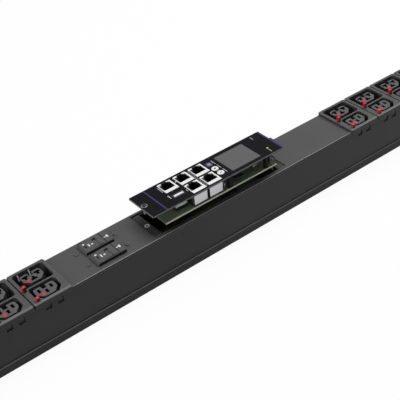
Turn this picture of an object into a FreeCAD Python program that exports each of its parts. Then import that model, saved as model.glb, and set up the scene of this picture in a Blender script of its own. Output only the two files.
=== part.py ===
"""Rack power distribution unit: a vertical bar with lockable outlets and a lift-out controller.

X runs along the bar, Y across it, and Z from the flat rear face up to the outlet face. The origin is the
centre of the rear face. The controller is lifted out of its bay. All sizes are in millimetres.
"""

import FreeCAD
import Part
import math
import os

Vector = FreeCAD.Vector
ACROSS = Vector(0, 1, 0)
ALONG = Vector(1, 0, 0)

# Sheet metal housing
SHEET = 1.2
UNIT_H = 61.0
BEND_INNER_R = 0.8
BASE_FLANGE_H = 11.0
BASE_BEVEL = 0.8
FLANGE_CLEAR = 0.1
MOUNT_SPACING = 711.2
MOUNT_HOLE_R = 2.1

# End caps and cord gland
CAP_T = 3.0
CAP_BEVEL = 1.2
CAP_SPIGOT = 6.0
CAP_WALL = 2.0
CAP_CLEAR = 0.15
END_MARGIN = 20.0
GLAND_Z = 32.0
GLAND_THREAD_W = 17.4
GLAND_CLEAR = 0.1
GLAND_FLATS = 26.0
GLAND_FLANGE_T = 6.0
CORD_R = 6.5
NUT_FLATS = 23.0
NUT_L = 16.0
NUT_BEVEL = 2.5

# Outlet blocks
BANK_COUNT = 4
BLOCK_L = 43.85
BLOCK_GAP = 0.6
BLOCK_RISE = 2.4
BLOCK_OVERHANG = 1.5
BLOCK_INSET = 0.8
BLOCK_CLEAR = 0.15
BLOCK_BEVEL = 0.6
BLOCK_CORNER = 1.6
SKIRT_DROP = 3.0
OUTLET_WALL = 0.85
OUTLET_RIB = 2.0
MOAT_DEPTH = 17.0
MOAT_FLOOR = 2.4
MOAT_BEVEL = 2.4
SMALL_MOAT_X = 31.0
SMALL_MOAT_Y = 22.8
SMALL_MOAT_BEVEL = 7.0
WIDE_MOAT_X = 36.5
WIDE_MOAT_Y = 26.8

# Outlet cores and their slots
CORE_X = 23.5
CORE_Y = 16.0
CORE_BEVEL = 6.0
CORE_FAR_BEVEL = 1.8
CORE_DROP = 1.0
NOTCH_W = 5.4
NOTCH_DEEP = 5.0
PIN_SPACING = 14.0
PIN_ROW = 2.3
EARTH_BACK = 4.3
SLOT_W = 2.5
SLOT_L = 5.4
CROSS_W = 6.5
CROSS_T = 2.8
CROSS_OUT = 0.6

# Snap hooks on the blocks and the windows that they catch in
WINDOW_W = 7.3
WINDOW_H = 7.5
WINDOW_DROP = 4.0
WINDOW_SPACING = 13.9
HOOK_W = 5.4
HOOK_H = 5.5
HOOK_OUT = 0.95
HOOK_CLEAR = 0.3

# Lock latches
LATCH_POST = 3.6
LATCH_CLEAR = 0.3
SMALL_LATCH_RISE = 4.2
WIDE_LATCH_RISE = 6.0
SMALL_POST_AT = (0.3, 1.6)
WIDE_POST_AT = (0.05, -2.0)
SMALL_TONGUE_AT = (6.65, 4.3)
WIDE_TONGUE_AT = (5.25, 4.75)
TONGUE_FLATS = 4.0
TONGUE_RISE = 0.9
LATCH_TRAVEL = 2.0
LINK_T = 2.0
LINK_W = 3.0

# Busbars with a contact leaf in each slot
BAR_T = 1.2
BAR_W = 5.0
BAR_STEP = 4.0
BAR_BELOW_LINK = 0.6
LEAF_T = 0.8
LEAF_W = 4.6
LEAF_DROP = 4.0

# Branch breakers
BREAKER_INSET = 36.7
BREAKER_L = 34.8
BREAKER_W = 20.0
BREAKER_GAP = 3.3
BREAKER_RISE = 3.9
BREAKER_DEPTH = 40.0
BREAKER_BEVEL = 0.8
BREAKER_CLEAR = 0.2
BREAKER_BODY_INSET = 1.2
BREAKER_FLANGE_T = 2.0
BREAKER_TO_BAY = 35.6
BREAKER_SCREW_OUT = 7.0
BREAKER_LUG = 4.0
SCREW_HEAD_R = 2.6
SCREW_HEAD_H = 1.3
SCREW_W = 2.8
SCREW_CLEAR = 0.25
SCREW_REACH = 6.0

# Breaker rockers
ROCKER_R = 12.9
ROCKER_W = 17.0
ROCKER_CLEAR = 0.4
ROCKER_INSET = 0.5
ROCKER_PIVOT_DROP = 3.4
ROCKER_SINK = 5.0
ROCKER_SWEEP = 3.2
ROCKER_CREST_X = 6.9
ROCKER_CREST_H = 4.1
ROCKER_LOW_H = 2.7
ROCKER_END_H = 3.3
TRUNNION_W = 2.4
TRUNNION_L = 0.8
TRUNNION_CLEAR = 0.15

# Controller bay
BAY_EDGE = 4.4
BAY_DEPTH = 33.0
BAY_SHELF_WALL = 0.3
BAY_RIM = 2.1
BAY_RIM_SIDE = 0.2
BAY_RIM_LAP = 2.2
BAY_TAB_L = 7.5
BAY_TAB_W = 8.5
BAY_TO_BANK = 100.5
INSERT_W = 5.0
INSERT_CLEAR = 0.1
INSERT_BORE_W = 3.5
INSERT_FLANGE_W = 5.8
INSERT_FLANGE_T = 1.0
INSERT_L = 6.0

# Controller fascia, from left to right
LIFT = 25.1
FASCIA_T = 1.5
FASCIA_CLEAR = 0.9
FASCIA_SEAT_CLEAR = 0.1
FASCIA_BEVEL = 0.9
FASCIA_TAB_L = 2.0
FASCIA_TAB_W = 6.0
PORT_INSET = 35.05
PORT_GAP = 3.8
PORT_COLUMNS = 3
PORT_EDGE = 3.1
PORT_ROW_GAP = 2.6
PORT_CLEAR = 0.1
JACK_W = 17.5
JACK_DEEP = 13.0
JACK_BAND = 4.8
JACK_SOCKET_W = 13.3
JACK_SOCKET_H = 8.9
JACK_KEY_W = 9.2
JACK_KEY_H = 1.7
JACK_LATCH_W = 6.4
JACK_LATCH_H = 2.1
USB_SHELL_W = 14.6
USB_SHELL_H = 6.8
USB_WALL = 0.6
USB_TONGUE_W = 12.4
USB_TONGUE_H = 2.8
USB_DEEP = 11.0
USB_SHIFT = 1.85
BUTTON_GAP = 1.95
BUTTON_R = 4.0
BUTTON_PITCH = 10.3
BUTTON_COUNT = 3
BUTTON_RISE = 0.6
BUTTON_CLEAR = 0.3
BUTTON_FLANGE = 0.7
BUTTON_FLANGE_T = 1.0
BUTTON_STEM = 3.6
BUTTON_TRAVEL = 0.6
DISPLAY_GAP = 7.7
DISPLAY_L = 40.5
DISPLAY_EDGE = 5.7
DISPLAY_SINK = 0.2
DISPLAY_CLEAR = 0.1
DISPLAY_LAP = 1.0
DISPLAY_LAP_T = 1.5
DISPLAY_T = 6.0
LAMP_GAP = 15.3
LAMP_SIZE = 2.6
LAMP_CLEAR = 0.1
LAMP_Y = 11.0
FASCIA_TAIL = 14.6

# Captive screw
CAPTIVE_INSET = 4.6
CAPTIVE_HEAD_W = 7.4
CAPTIVE_HEAD_H = 2.0
CAPTIVE_W = 3.0
CAPTIVE_CLEAR = 0.1
CAPTIVE_SOCKET_FLATS = 3.6
CAPTIVE_SOCKET_DEEP = 1.2
CAPTIVE_REACH = 9.0

# Controller board
BOARD_BELOW = 16.5
BOARD_T = 1.6
BOARD_INSET_LEFT = 15.8
BOARD_INSET_RIGHT = 10.4
BOARD_INSET_SIDE = 1.7
STANDOFF_FLATS = 5.5
STANDOFF_GAP = 6.0
STANDOFF_EDGE = 3.5
PLUG_L = 10.0
PLUG_W = 6.0
PLUG_H = 8.1
PLUG_EDGE = 6.0
PLUG_INSET_LEFT = 19.5
PLUG_SPACING = 65.0
PLUG_CLEAR = 0.4
SOCKET_WALL = 1.5
SOCKET_FLOOR = 2.0
SOCKET_H = 10.0

# Widths across the bar follow from the outlets
BLOCK_HALF = (SMALL_MOAT_Y + OUTLET_RIB + WIDE_MOAT_Y) / 2 + OUTLET_WALL
INNER_HALF = BLOCK_HALF + BLOCK_CLEAR
COVER_HALF = INNER_HALF + SHEET
BASE_INNER_HALF = COVER_HALF + FLANGE_CLEAR
BASE_HALF = BASE_INNER_HALF + SHEET
BAY_HALF = COVER_HALF - BAY_EDGE
FASCIA_HALF = BAY_HALF - FASCIA_CLEAR
BAY_OPEN_HALF = BAY_HALF - BAY_RIM

# Heights
BEND_R = BEND_INNER_R + SHEET
UNDER_COVER = UNIT_H - SHEET
WALL_TOP = UNIT_H - BEND_R
BLOCK_TOP = UNIT_H + BLOCK_RISE
SKIRT_Z = UNIT_H - SKIRT_DROP
MOAT_Z = BLOCK_TOP - MOAT_DEPTH
BLOCK_Z = MOAT_Z - MOAT_FLOOR
CORE_TOP = BLOCK_TOP - CORE_DROP
WINDOW_TOP = UNIT_H - WINDOW_DROP
LINK_TOP = BLOCK_Z - LATCH_CLEAR
BAR_TOP = LINK_TOP - LINK_T - LATCH_TRAVEL - BAR_BELOW_LINK
BREAKER_TOP = UNIT_H + BREAKER_RISE
PIVOT_Z = BREAKER_TOP - ROCKER_PIVOT_DROP
BAY_FLOOR = UNIT_H - BAY_DEPTH
FASCIA_Z = UNDER_COVER + FASCIA_SEAT_CLEAR + LIFT
FASCIA_TOP = FASCIA_Z + FASCIA_T
BOARD_TOP = FASCIA_Z - BOARD_BELOW
BOARD_Z = BOARD_TOP - BOARD_T

# Places along the bar
PITCH = BLOCK_L + BLOCK_GAP
BANK_L = BANK_COUNT * PITCH
PORT_PITCH = JACK_W + PORT_GAP
PORTS_L = PORT_COLUMNS * JACK_W + (PORT_COLUMNS - 1) * PORT_GAP
BUTTONS_L = BUTTON_GAP + 2 * BUTTON_R
FASCIA_L = PORT_INSET + PORTS_L + BUTTONS_L + DISPLAY_GAP + DISPLAY_L + LAMP_GAP + FASCIA_TAIL
BAY_L = FASCIA_L + 2 * FASCIA_CLEAR
MID_L = BREAKER_INSET + BREAKER_L + BREAKER_TO_BAY + BAY_L + BAY_TO_BANK
COVER_L = 2 * (END_MARGIN + BANK_L) + MID_L
COVER_X0 = -COVER_L / 2
COVER_X1 = COVER_L / 2
LEFT_BANK_X = COVER_X0 + END_MARGIN
MID_X = LEFT_BANK_X + BANK_L
BREAKER_X0 = MID_X + BREAKER_INSET
BREAKER_X1 = BREAKER_X0 + BREAKER_L
BAY_X0 = BREAKER_X1 + BREAKER_TO_BAY
BAY_X1 = BAY_X0 + BAY_L
RIGHT_BANK_X = BAY_X1 + BAY_TO_BANK
FASCIA_X0 = BAY_X0 + FASCIA_CLEAR
FASCIA_X1 = FASCIA_X0 + FASCIA_L
CAPTIVE_X = FASCIA_X0 + CAPTIVE_INSET
PORT_X0 = FASCIA_X0 + PORT_INSET
BUTTON_X = PORT_X0 + PORTS_L + BUTTON_GAP + BUTTON_R
DISPLAY_X0 = BUTTON_X + BUTTON_R + DISPLAY_GAP
DISPLAY_X1 = DISPLAY_X0 + DISPLAY_L
LAMP_X = DISPLAY_X1 + LAMP_GAP
BAY_OPEN_X0 = CAPTIVE_X + INSERT_FLANGE_W / 2 + BAY_SHELF_WALL + SHEET
BAY_OPEN_X1 = BAY_X1 - BAY_RIM
BOARD_X0 = FASCIA_X0 + BOARD_INSET_LEFT
BOARD_X1 = FASCIA_X1 - BOARD_INSET_RIGHT
BOARD_HALF = FASCIA_HALF - BOARD_INSET_SIDE
PIVOT_X = BREAKER_X0 + ROCKER_INSET + ROCKER_CLEAR + ROCKER_R
JACK_H = FASCIA_HALF - PORT_EDGE - PORT_ROW_GAP / 2
PORT_ROW_Y = (JACK_H + PORT_ROW_GAP) / 2

# A cut runs this far past the face that it opens
PAST = 1.0
TINY = 1e-6
# Sides of the regular sections, six or, on the small round pieces, enough to read as round
HEX_COUNT = 6
ROUND_COUNT = 12


def block(x, y, z):
    """A box from its low and high limits along each axis."""
    return Part.makeBox(x[1] - x[0], y[1] - y[0], z[1] - z[0], Vector(x[0], y[0], z[0]))


def centred(at, size, z):
    """A box centred on a plan position."""
    x = (at[0] - size[0] / 2, at[0] + size[0] / 2)
    y = (at[1] - size[1] / 2, at[1] + size[1] / 2)
    return block(x, y, z)


def post(radius, at, z):
    """An upright cylinder."""
    return Part.makeCylinder(radius, z[1] - z[0], Vector(at[0], at[1], z[0]))


def barrel(radius, x, z):
    """A cylinder along the bar on its centre plane."""
    return Part.makeCylinder(radius, x[1] - x[0], Vector(x[0], 0, z), ALONG)


def prism(points, sweep):
    """The closed polygon through the points, swept along a vector."""
    face = Part.Face(Part.makePolygon(points + points[:1]))
    return face.extrude(sweep)


def polygon(sides, flats):
    """Corners of a regular polygon, with a flat side square to the first of its two axes."""
    radius = flats / 2 / math.cos(math.pi / sides)
    angles = [math.pi * (2 * index + 1) / sides for index in range(sides)]
    return [(radius * math.cos(angle), radius * math.sin(angle)) for angle in angles]


def flat_sided_post(sides, flats, at, z):
    """An upright bar of regular section, with flat sides square to Y."""
    points = [Vector(at[0] + v, at[1] + u, z[0]) for u, v in polygon(sides, flats)]
    return prism(points, Vector(0, 0, z[1] - z[0]))


def flat_sided_pin(sides, flats, at, y):
    """A bar of regular section across the strip."""
    points = [Vector(at[0] + u, y[0], at[1] + v) for u, v in polygon(sides, flats)]
    return prism(points, Vector(0, y[1] - y[0], 0))


def flat_sided_bar(sides, flats, x):
    """A bar of regular section on the gland's axis."""
    points = [Vector(x[0], v, GLAND_Z + u) for u, v in polygon(sides, flats)]
    return prism(points, Vector(x[1] - x[0], 0, 0))


def picked_edges(solid, chosen):
    """The edges whose end points pass the test."""
    return [edge for edge in solid.Edges if chosen(edge.Vertexes[0].Point, edge.Vertexes[-1].Point)]


def round_edges(solid, radius, chosen):
    return solid.makeFillet(radius, picked_edges(solid, chosen))


def bevel_edges(solid, size, chosen):
    return solid.makeChamfer(size, picked_edges(solid, chosen))


def is_upright(a, b):
    return abs(a.x - b.x) < TINY and abs(a.y - b.y) < TINY


def is_along(a, b):
    return abs(a.y - b.y) < TINY and abs(a.z - b.z) < TINY


def both_at_z(a, b, z):
    return abs(a.z - z) < TINY and abs(b.z - z) < TINY


def both_at_x(a, b, x):
    return abs(a.x - x) < TINY and abs(b.x - x) < TINY


def merged(solids):
    """One solid from touching or crossing pieces."""
    return solids[0].fuse(solids[1:]).removeSplitter()


# Outlets: the small one on the near side of each block and the wide combination one on the far side
class Outlet:
    """The plan of one outlet in its block, with x measured from the block's middle."""

    def __init__(self, name, moat, centre_y, bevel, rise, post_at, tongue_at, crossed):
        self.name = name
        self.moat = moat
        self.y = centre_y
        self.bevel = bevel
        self.rise = rise
        self.post = (post_at[0] - moat[0] / 2, centre_y - moat[1] / 2 + post_at[1])
        self.tongue = (tongue_at[0] - CORE_X / 2, centre_y - CORE_Y / 2 + tongue_at[1])
        self.crossed = crossed

    def slots(self):
        """Plan centres of the neutral, line and earth slots, with the side that a cross bar is on."""
        row = self.y + PIN_ROW
        return {
            "neutral": (-PIN_SPACING / 2, row, 1),
            "line": (PIN_SPACING / 2, row, 1),
            "earth": (0.0, row - EARTH_BACK, -1),
        }


MOAT_FAR_Y = BLOCK_HALF - OUTLET_WALL
SMALL_Y = -MOAT_FAR_Y + SMALL_MOAT_Y / 2
WIDE_Y = MOAT_FAR_Y - WIDE_MOAT_Y / 2
OUTLETS = [
    Outlet("small", (SMALL_MOAT_X, SMALL_MOAT_Y), SMALL_Y, SMALL_MOAT_BEVEL,
           SMALL_LATCH_RISE, SMALL_POST_AT, SMALL_TONGUE_AT, False),
    Outlet("wide", (WIDE_MOAT_X, WIDE_MOAT_Y), WIDE_Y, 0.0,
           WIDE_LATCH_RISE, WIDE_POST_AT, WIDE_TONGUE_AT, True),
]


def block_centres():
    """Middle of every outlet block along the bar, from left to right."""
    centres = []
    for start in (LEFT_BANK_X, RIGHT_BANK_X):
        for index in range(BANK_COUNT):
            centres.append(start + PITCH * (index + 0.5))
    return centres


# Housing
def base_channel():
    """Shallow channel with its side flanges outside the cover, and the two rear fixing holes."""
    x = (COVER_X0, COVER_X1)
    outer = block(x, (-BASE_HALF, BASE_HALF), (0, BASE_FLANGE_H))
    outer = bevel_edges(outer, BASE_BEVEL, lambda a, b: is_along(a, b) and both_at_z(a, b, 0))
    room = (-BASE_INNER_HALF, BASE_INNER_HALF)
    channel = outer.cut(block((x[0] - PAST, x[1] + PAST), room, (SHEET, BASE_FLANGE_H + PAST)))
    for side in (-1, 1):
        at = (side * MOUNT_SPACING / 2, 0)
        channel = channel.cut(post(MOUNT_HOLE_R, at, (-PAST, SHEET + PAST)))
    return channel


def cover_blank():
    """Folded cover before its openings."""
    x = (COVER_X0, COVER_X1)
    outer = block(x, (-COVER_HALF, COVER_HALF), (SHEET, UNIT_H))
    outer = round_edges(outer, BEND_R, lambda a, b: is_along(a, b) and both_at_z(a, b, UNIT_H))
    past = (x[0] - PAST, x[1] + PAST)
    inner = block(past, (-INNER_HALF, INNER_HALF), (SHEET - PAST, UNDER_COVER))
    inner = bevel_edges(inner, BEND_INNER_R, lambda a, b: is_along(a, b) and both_at_z(a, b, UNDER_COVER))
    return outer.cut(inner)


def cover_shell():
    """Cover with open banks, snap windows, breaker openings and the bay opening."""
    openings = []
    through = (-COVER_HALF - PAST, COVER_HALF + PAST)
    for start in (LEFT_BANK_X, RIGHT_BANK_X):
        openings.append(block((start, start + BANK_L), through, (WALL_TOP, UNIT_H + PAST)))
    for centre in block_centres():
        for side in (-1, 1):
            at = (centre + side * WINDOW_SPACING / 2, 0)
            size = (WINDOW_W, 2 * (COVER_HALF + PAST))
            openings.append(centred(at, size, (WINDOW_TOP - WINDOW_H, WINDOW_TOP)))
    top = (UNDER_COVER - PAST, UNIT_H + PAST)
    for y in breaker_rows():
        size = (BREAKER_L + 2 * BREAKER_CLEAR, BREAKER_W + 2 * BREAKER_CLEAR)
        openings.append(centred(((BREAKER_X0 + BREAKER_X1) / 2, y), size, top))
        openings.extend(screw_holes(y, top))
    bay = block((BAY_X0, BAY_X1), (-BAY_HALF, BAY_HALF), top)
    tab_half = FASCIA_TAB_W / 2 + FASCIA_CLEAR
    openings.append(bay.fuse(block((BAY_X1, BAY_X1 + FASCIA_TAB_L), (-tab_half, tab_half), top)))
    return cover_blank().cut(openings)


def end_cap(side):
    """Plain end cap with a hollow spigot inside the cover."""
    face = side * COVER_X1
    outside = face + side * CAP_T
    inside = face - side * CAP_SPIGOT
    plate = block(sorted((face, outside)), (-BASE_HALF, BASE_HALF), (0, UNIT_H))
    plate = bevel_edges(plate, CAP_BEVEL, lambda a, b: both_at_x(a, b, outside))
    half = INNER_HALF - CAP_CLEAR
    z = (SHEET + CAP_CLEAR, UNDER_COVER - CAP_CLEAR)
    spigot = block(sorted((face, inside)), (-half, half), z)
    spigot = bevel_edges(spigot, BEND_INNER_R, lambda a, b: is_along(a, b) and both_at_z(a, b, z[1]))
    hollow_x = sorted((face, inside - side * PAST))
    hollow = block(hollow_x, (CAP_WALL - half, half - CAP_WALL), (z[0] + CAP_WALL, z[1] - CAP_WALL))
    return merged([plate, spigot.cut(hollow)])


def end_cap_left():
    """Left end cap with the gland's hole."""
    x = (COVER_X0 - CAP_T - PAST, COVER_X0 + PAST)
    return end_cap(-1).cut(flat_sided_bar(ROUND_COUNT, GLAND_THREAD_W + 2 * GLAND_CLEAR, x))


GLAND_FACE_X = COVER_X0 - CAP_T
NUT_X = GLAND_FACE_X - GLAND_FLANGE_T
NUT_TIP_X = NUT_X - NUT_L


def gland_body():
    """Gland's hexagon with its thread through the cap."""
    tail = COVER_X0 + CAP_SPIGOT
    flange = flat_sided_bar(HEX_COUNT, GLAND_FLATS, (NUT_X, GLAND_FACE_X))
    thread = flat_sided_bar(ROUND_COUNT, GLAND_THREAD_W, (NUT_X, tail))
    return merged([flange, thread]).cut(barrel(CORD_R, (NUT_X - PAST, tail + PAST), GLAND_Z))


def gland_nut():
    """Six-sided nut with a bevelled nose, against the gland's hexagon."""
    nut = flat_sided_bar(HEX_COUNT, NUT_FLATS, (NUT_TIP_X, NUT_X))
    nut = bevel_edges(nut, NUT_BEVEL, lambda a, b: both_at_x(a, b, NUT_TIP_X))
    return nut.cut(barrel(CORD_R, (NUT_TIP_X - PAST, NUT_X + PAST), GLAND_Z))


# Outlet blocks
def outlet_plan(centre, size, bevel, corner, z):
    """Upright form with deep bevels on its near corners, or none, and small ones on the others."""
    x0, x1 = centre[0] - size[0] / 2, centre[0] + size[0] / 2
    y0, y1 = centre[1] - size[1] / 2, centre[1] + size[1] / 2
    if not bevel:
        return bevel_edges(block((x0, x1), (y0, y1), z), corner, is_upright)
    plan = [(x0 + bevel, y0), (x1 - bevel, y0), (x1, y0 + bevel), (x1, y1), (x0, y1), (x0, y0 + bevel)]
    form = prism([Vector(x, y, z[0]) for x, y in plan], Vector(0, 0, z[1] - z[0]))
    return bevel_edges(form, corner, lambda a, b: is_upright(a, b) and abs(a.y - y1) < TINY)


def slot_cuts(outlet, centre):
    """Contact slots of one core, right through the block's floor."""
    z = (BLOCK_Z - PAST, CORE_TOP + PAST)
    cuts = []
    for x, y, side in outlet.slots().values():
        cuts.append(centred((centre + x, y), (SLOT_W, SLOT_L), z))
        if outlet.crossed:
            bar_y = y + side * (SLOT_L / 2 + CROSS_OUT - CROSS_T / 2)
            cuts.append(centred((centre + x, bar_y), (CROSS_W, CROSS_T), (MOAT_Z, CORE_TOP + PAST)))
    return cuts


def snap_hooks(centre):
    """Wedges that catch under the cover's window edges."""
    top = WINDOW_TOP - HOOK_CLEAR
    root = BLOCK_HALF - OUTLET_WALL / 2
    hooks = []
    for across in (-1, 1):
        for side in (-1, 1):
            x = centre + side * WINDOW_SPACING / 2 - HOOK_W / 2
            points = [
                Vector(x, across * root, top),
                Vector(x, across * (BLOCK_HALF + HOOK_OUT), top),
                Vector(x, across * BLOCK_HALF, top - HOOK_H),
                Vector(x, across * root, top - HOOK_H),
            ]
            hooks.append(prism(points, Vector(HOOK_W, 0, 0)))
    return hooks


def outlet_block(centre):
    """Moulded block with a lipped face, two moats with their cores, and snap hooks."""
    x = (centre - BLOCK_L / 2, centre + BLOCK_L / 2)
    lip = COVER_HALF + BLOCK_OVERHANG
    face = bevel_edges(block(x, (-lip, lip), (SKIRT_Z, BLOCK_TOP)), BLOCK_CORNER, is_upright)
    face = bevel_edges(face, BLOCK_BEVEL, lambda a, b: both_at_z(a, b, BLOCK_TOP))
    room = BASE_INNER_HALF
    face = face.cut(block((x[0] - PAST, x[1] + PAST), (-room, room), (SKIRT_Z - PAST, WALL_TOP)))
    body_x = (x[0] + BLOCK_INSET, x[1] - BLOCK_INSET)
    body = block(body_x, (-BLOCK_HALF, BLOCK_HALF), (BLOCK_Z, WALL_TOP))
    moulding = merged([face, body] + snap_hooks(centre))
    cuts = []
    for outlet in OUTLETS:
        at = (centre, outlet.y)
        moat = outlet_plan(at, outlet.moat, outlet.bevel, MOAT_BEVEL, (MOAT_Z, BLOCK_TOP + PAST))
        core_z = (MOAT_Z - PAST, CORE_TOP)
        core = outlet_plan(at, (CORE_X, CORE_Y), CORE_BEVEL, CORE_FAR_BEVEL, core_z)
        cuts.append(moat.cut(core))
        notch_y = outlet.y + (CORE_Y - NOTCH_DEEP) / 2
        notch = centred((centre, notch_y), (NOTCH_W, NOTCH_DEEP + TINY), (MOAT_Z, CORE_TOP + PAST))
        cuts.append(notch)
        cuts.extend(slot_cuts(outlet, centre))
        hole = LATCH_POST + 2 * LATCH_CLEAR
        through = (BLOCK_Z - PAST, BLOCK_TOP + PAST)
        cuts.append(centred((centre + outlet.post[0], outlet.post[1]), (hole, hole), through))
        tongue = (centre + outlet.tongue[0], outlet.tongue[1])
        cuts.append(flat_sided_post(HEX_COUNT, TONGUE_FLATS + 2 * LATCH_CLEAR, tongue, through))
    return moulding.cut(cuts)


def lock_latch(outlet, centre):
    """Release button and six-sided tongue, joined by a link under the block's floor."""
    head = (centre + outlet.post[0], outlet.post[1])
    tongue = (centre + outlet.tongue[0], outlet.tongue[1])
    foot = LINK_TOP - LINK_T
    run = Vector(tongue[0] - head[0], tongue[1] - head[1], 0)
    side = Vector(-run.y, run.x, 0).normalize() * (LINK_W / 2)
    start = Vector(head[0], head[1], foot)
    end = Vector(tongue[0], tongue[1], foot)
    link = prism([start - side, end - side, end + side, start + side], Vector(0, 0, LINK_T))
    pieces = [
        link,
        centred(head, (LATCH_POST, LATCH_POST), (foot, BLOCK_TOP + outlet.rise)),
        flat_sided_post(HEX_COUNT, TONGUE_FLATS, tongue, (foot, CORE_TOP + TONGUE_RISE)),
    ]
    return merged(pieces)


# Busbars
BAR_LAYERS = {"line": 0, "neutral": 1, "earth": 2}


def busbar(kind, start):
    """Bar under one bank, with an arm and an upright contact leaf at each outlet."""
    top = BAR_TOP - BAR_LAYERS[kind] * BAR_STEP
    z = (top - BAR_T, top)
    middle = SMALL_Y + SMALL_MOAT_Y / 2 + OUTLET_RIB / 2
    spine = (middle - BAR_W / 2, middle + BAR_W / 2)
    centres = [start + PITCH * (index + 0.5) for index in range(BANK_COUNT)]
    pieces = [block((centres[0] - PITCH / 2, centres[-1] + PITCH / 2), spine, z)]
    leaf_top = CORE_TOP - LEAF_DROP
    for centre in centres:
        for outlet in OUTLETS:
            x, y, _ = outlet.slots()[kind]
            leaf_x = (centre + x - SLOT_W / 2, centre + x - SLOT_W / 2 + LEAF_T)
            leaf_y = (y - LEAF_W / 2, y + LEAF_W / 2)
            arm_y = (min(leaf_y[0], spine[0]), max(leaf_y[1], spine[1]))
            pieces.append(block(leaf_x, arm_y, z))
            pieces.append(block(leaf_x, leaf_y, (z[0], leaf_top)))
    return merged(pieces)


# Breakers
def breaker_rows():
    """Middle of each breaker across the bar."""
    offset = (BREAKER_W + BREAKER_GAP) / 2
    return (-offset, offset)


def breaker_screw_columns():
    return (BREAKER_X0 - BREAKER_SCREW_OUT, BREAKER_X1 + BREAKER_SCREW_OUT)


def screw_holes(y, z):
    """Square clearance holes under the screw heads of one breaker."""
    hole = SCREW_W + 2 * SCREW_CLEAR
    return [centred((x, y), (hole, hole), z) for x in breaker_screw_columns()]


def breaker_body(y):
    """Breaker case: raised front through the cover, fixing lugs under it, and the well for its rocker."""
    middle = (BREAKER_X0 + BREAKER_X1) / 2
    front = centred((middle, y), (BREAKER_L, BREAKER_W), (UNDER_COVER - BREAKER_FLANGE_T, BREAKER_TOP))
    front = bevel_edges(front, BREAKER_BEVEL, lambda a, b: both_at_z(a, b, BREAKER_TOP))
    lugs_l = BREAKER_L + 2 * (BREAKER_SCREW_OUT + BREAKER_LUG)
    lugs = centred((middle, y), (lugs_l, BREAKER_W), (UNDER_COVER - BREAKER_FLANGE_T, UNDER_COVER))
    size = (BREAKER_L - 2 * BREAKER_BODY_INSET, BREAKER_W - 2 * BREAKER_BODY_INSET)
    case = centred((middle, y), size, (UNIT_H - BREAKER_DEPTH, UNDER_COVER))
    well_size = (2 * (ROCKER_R + ROCKER_CLEAR), ROCKER_W + 2 * ROCKER_CLEAR)
    well_z = (PIVOT_Z - ROCKER_SINK - ROCKER_SWEEP, BREAKER_TOP + PAST)
    cuts = [centred((PIVOT_X, y), well_size, well_z)]
    reach = ROCKER_W / 2 + TRUNNION_L + TRUNNION_CLEAR
    socket_w = TRUNNION_W + 2 * TRUNNION_CLEAR
    cuts.append(flat_sided_pin(ROUND_COUNT, socket_w, (PIVOT_X, PIVOT_Z), (y - reach, y + reach)))
    cuts.extend(screw_holes(y, (UNDER_COVER - BREAKER_FLANGE_T - PAST, UNIT_H)))
    return merged([front, lugs, case]).cut(cuts)


def breaker_rocker(y):
    """Rocker with round ends about its pivot, a crest near its raised end, and two trunnions."""
    foot = Vector(PIVOT_X, y - ROCKER_W / 2, PIVOT_Z)
    drum = Part.makeCylinder(ROCKER_R, ROCKER_W, foot, ACROSS)
    reach = ROCKER_R + PAST
    outline = [
        (-reach, -ROCKER_SINK),
        (reach, -ROCKER_SINK),
        (reach, ROCKER_END_H),
        (ROCKER_CREST_X, ROCKER_CREST_H),
        (-reach, ROCKER_LOW_H),
    ]
    points = [foot + Vector(x, 0, z) for x, z in outline]
    rocker = drum.common(prism(points, Vector(0, ROCKER_W, 0)))
    reach = ROCKER_W / 2 + TRUNNION_L
    pin = flat_sided_pin(ROUND_COUNT, TRUNNION_W, (PIVOT_X, PIVOT_Z), (y - reach, y + reach))
    return merged([rocker, pin])


def breaker_screws():
    """Pan head screws that hold the breakers under the cover."""
    screws = []
    for x in breaker_screw_columns():
        for y in breaker_rows():
            head = flat_sided_post(ROUND_COUNT, 2 * SCREW_HEAD_R, (x, y), (UNIT_H, UNIT_H + SCREW_HEAD_H))
            shank = flat_sided_post(HEX_COUNT, SCREW_W, (x, y), (UNIT_H - SCREW_REACH, UNIT_H))
            screws.append(merged([head, shank]))
    return Part.makeCompound(screws)


# Controller bay
def bay_tray():
    """Open tray hung under the cover by its rim, with a shelf for the insert and a corner tab."""
    rim_z = (UNDER_COVER - SHEET, UNDER_COVER)
    rim_half = COVER_HALF - BEND_R - BAY_RIM_SIDE
    rim = block((BAY_X0 - BAY_RIM_LAP, BAY_X1 + BAY_RIM_LAP), (-rim_half, rim_half), rim_z)
    wall_x = (BAY_OPEN_X0 - SHEET, BAY_OPEN_X1 + SHEET)
    wall_y = (-BAY_OPEN_HALF - SHEET, BAY_OPEN_HALF + SHEET)
    shell = block(wall_x, wall_y, (BAY_FLOOR - SHEET, rim_z[1]))
    open_x = (BAY_OPEN_X0, BAY_OPEN_X1)
    room = block(open_x, (-BAY_OPEN_HALF, BAY_OPEN_HALF), (BAY_FLOOR, rim_z[1] + PAST))
    tab_x = (BAY_OPEN_X1 - BAY_TAB_L, BAY_OPEN_X1)
    tab = block(tab_x, (-BAY_OPEN_HALF, BAY_TAB_W - BAY_OPEN_HALF), rim_z)
    tray = merged([merged([rim, shell]).cut(room), tab])
    hole_z = (rim_z[0] - PAST, rim_z[1] + PAST)
    return tray.cut(flat_sided_post(HEX_COUNT, INSERT_W + 2 * INSERT_CLEAR, (CAPTIVE_X, 0), hole_z))


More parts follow.
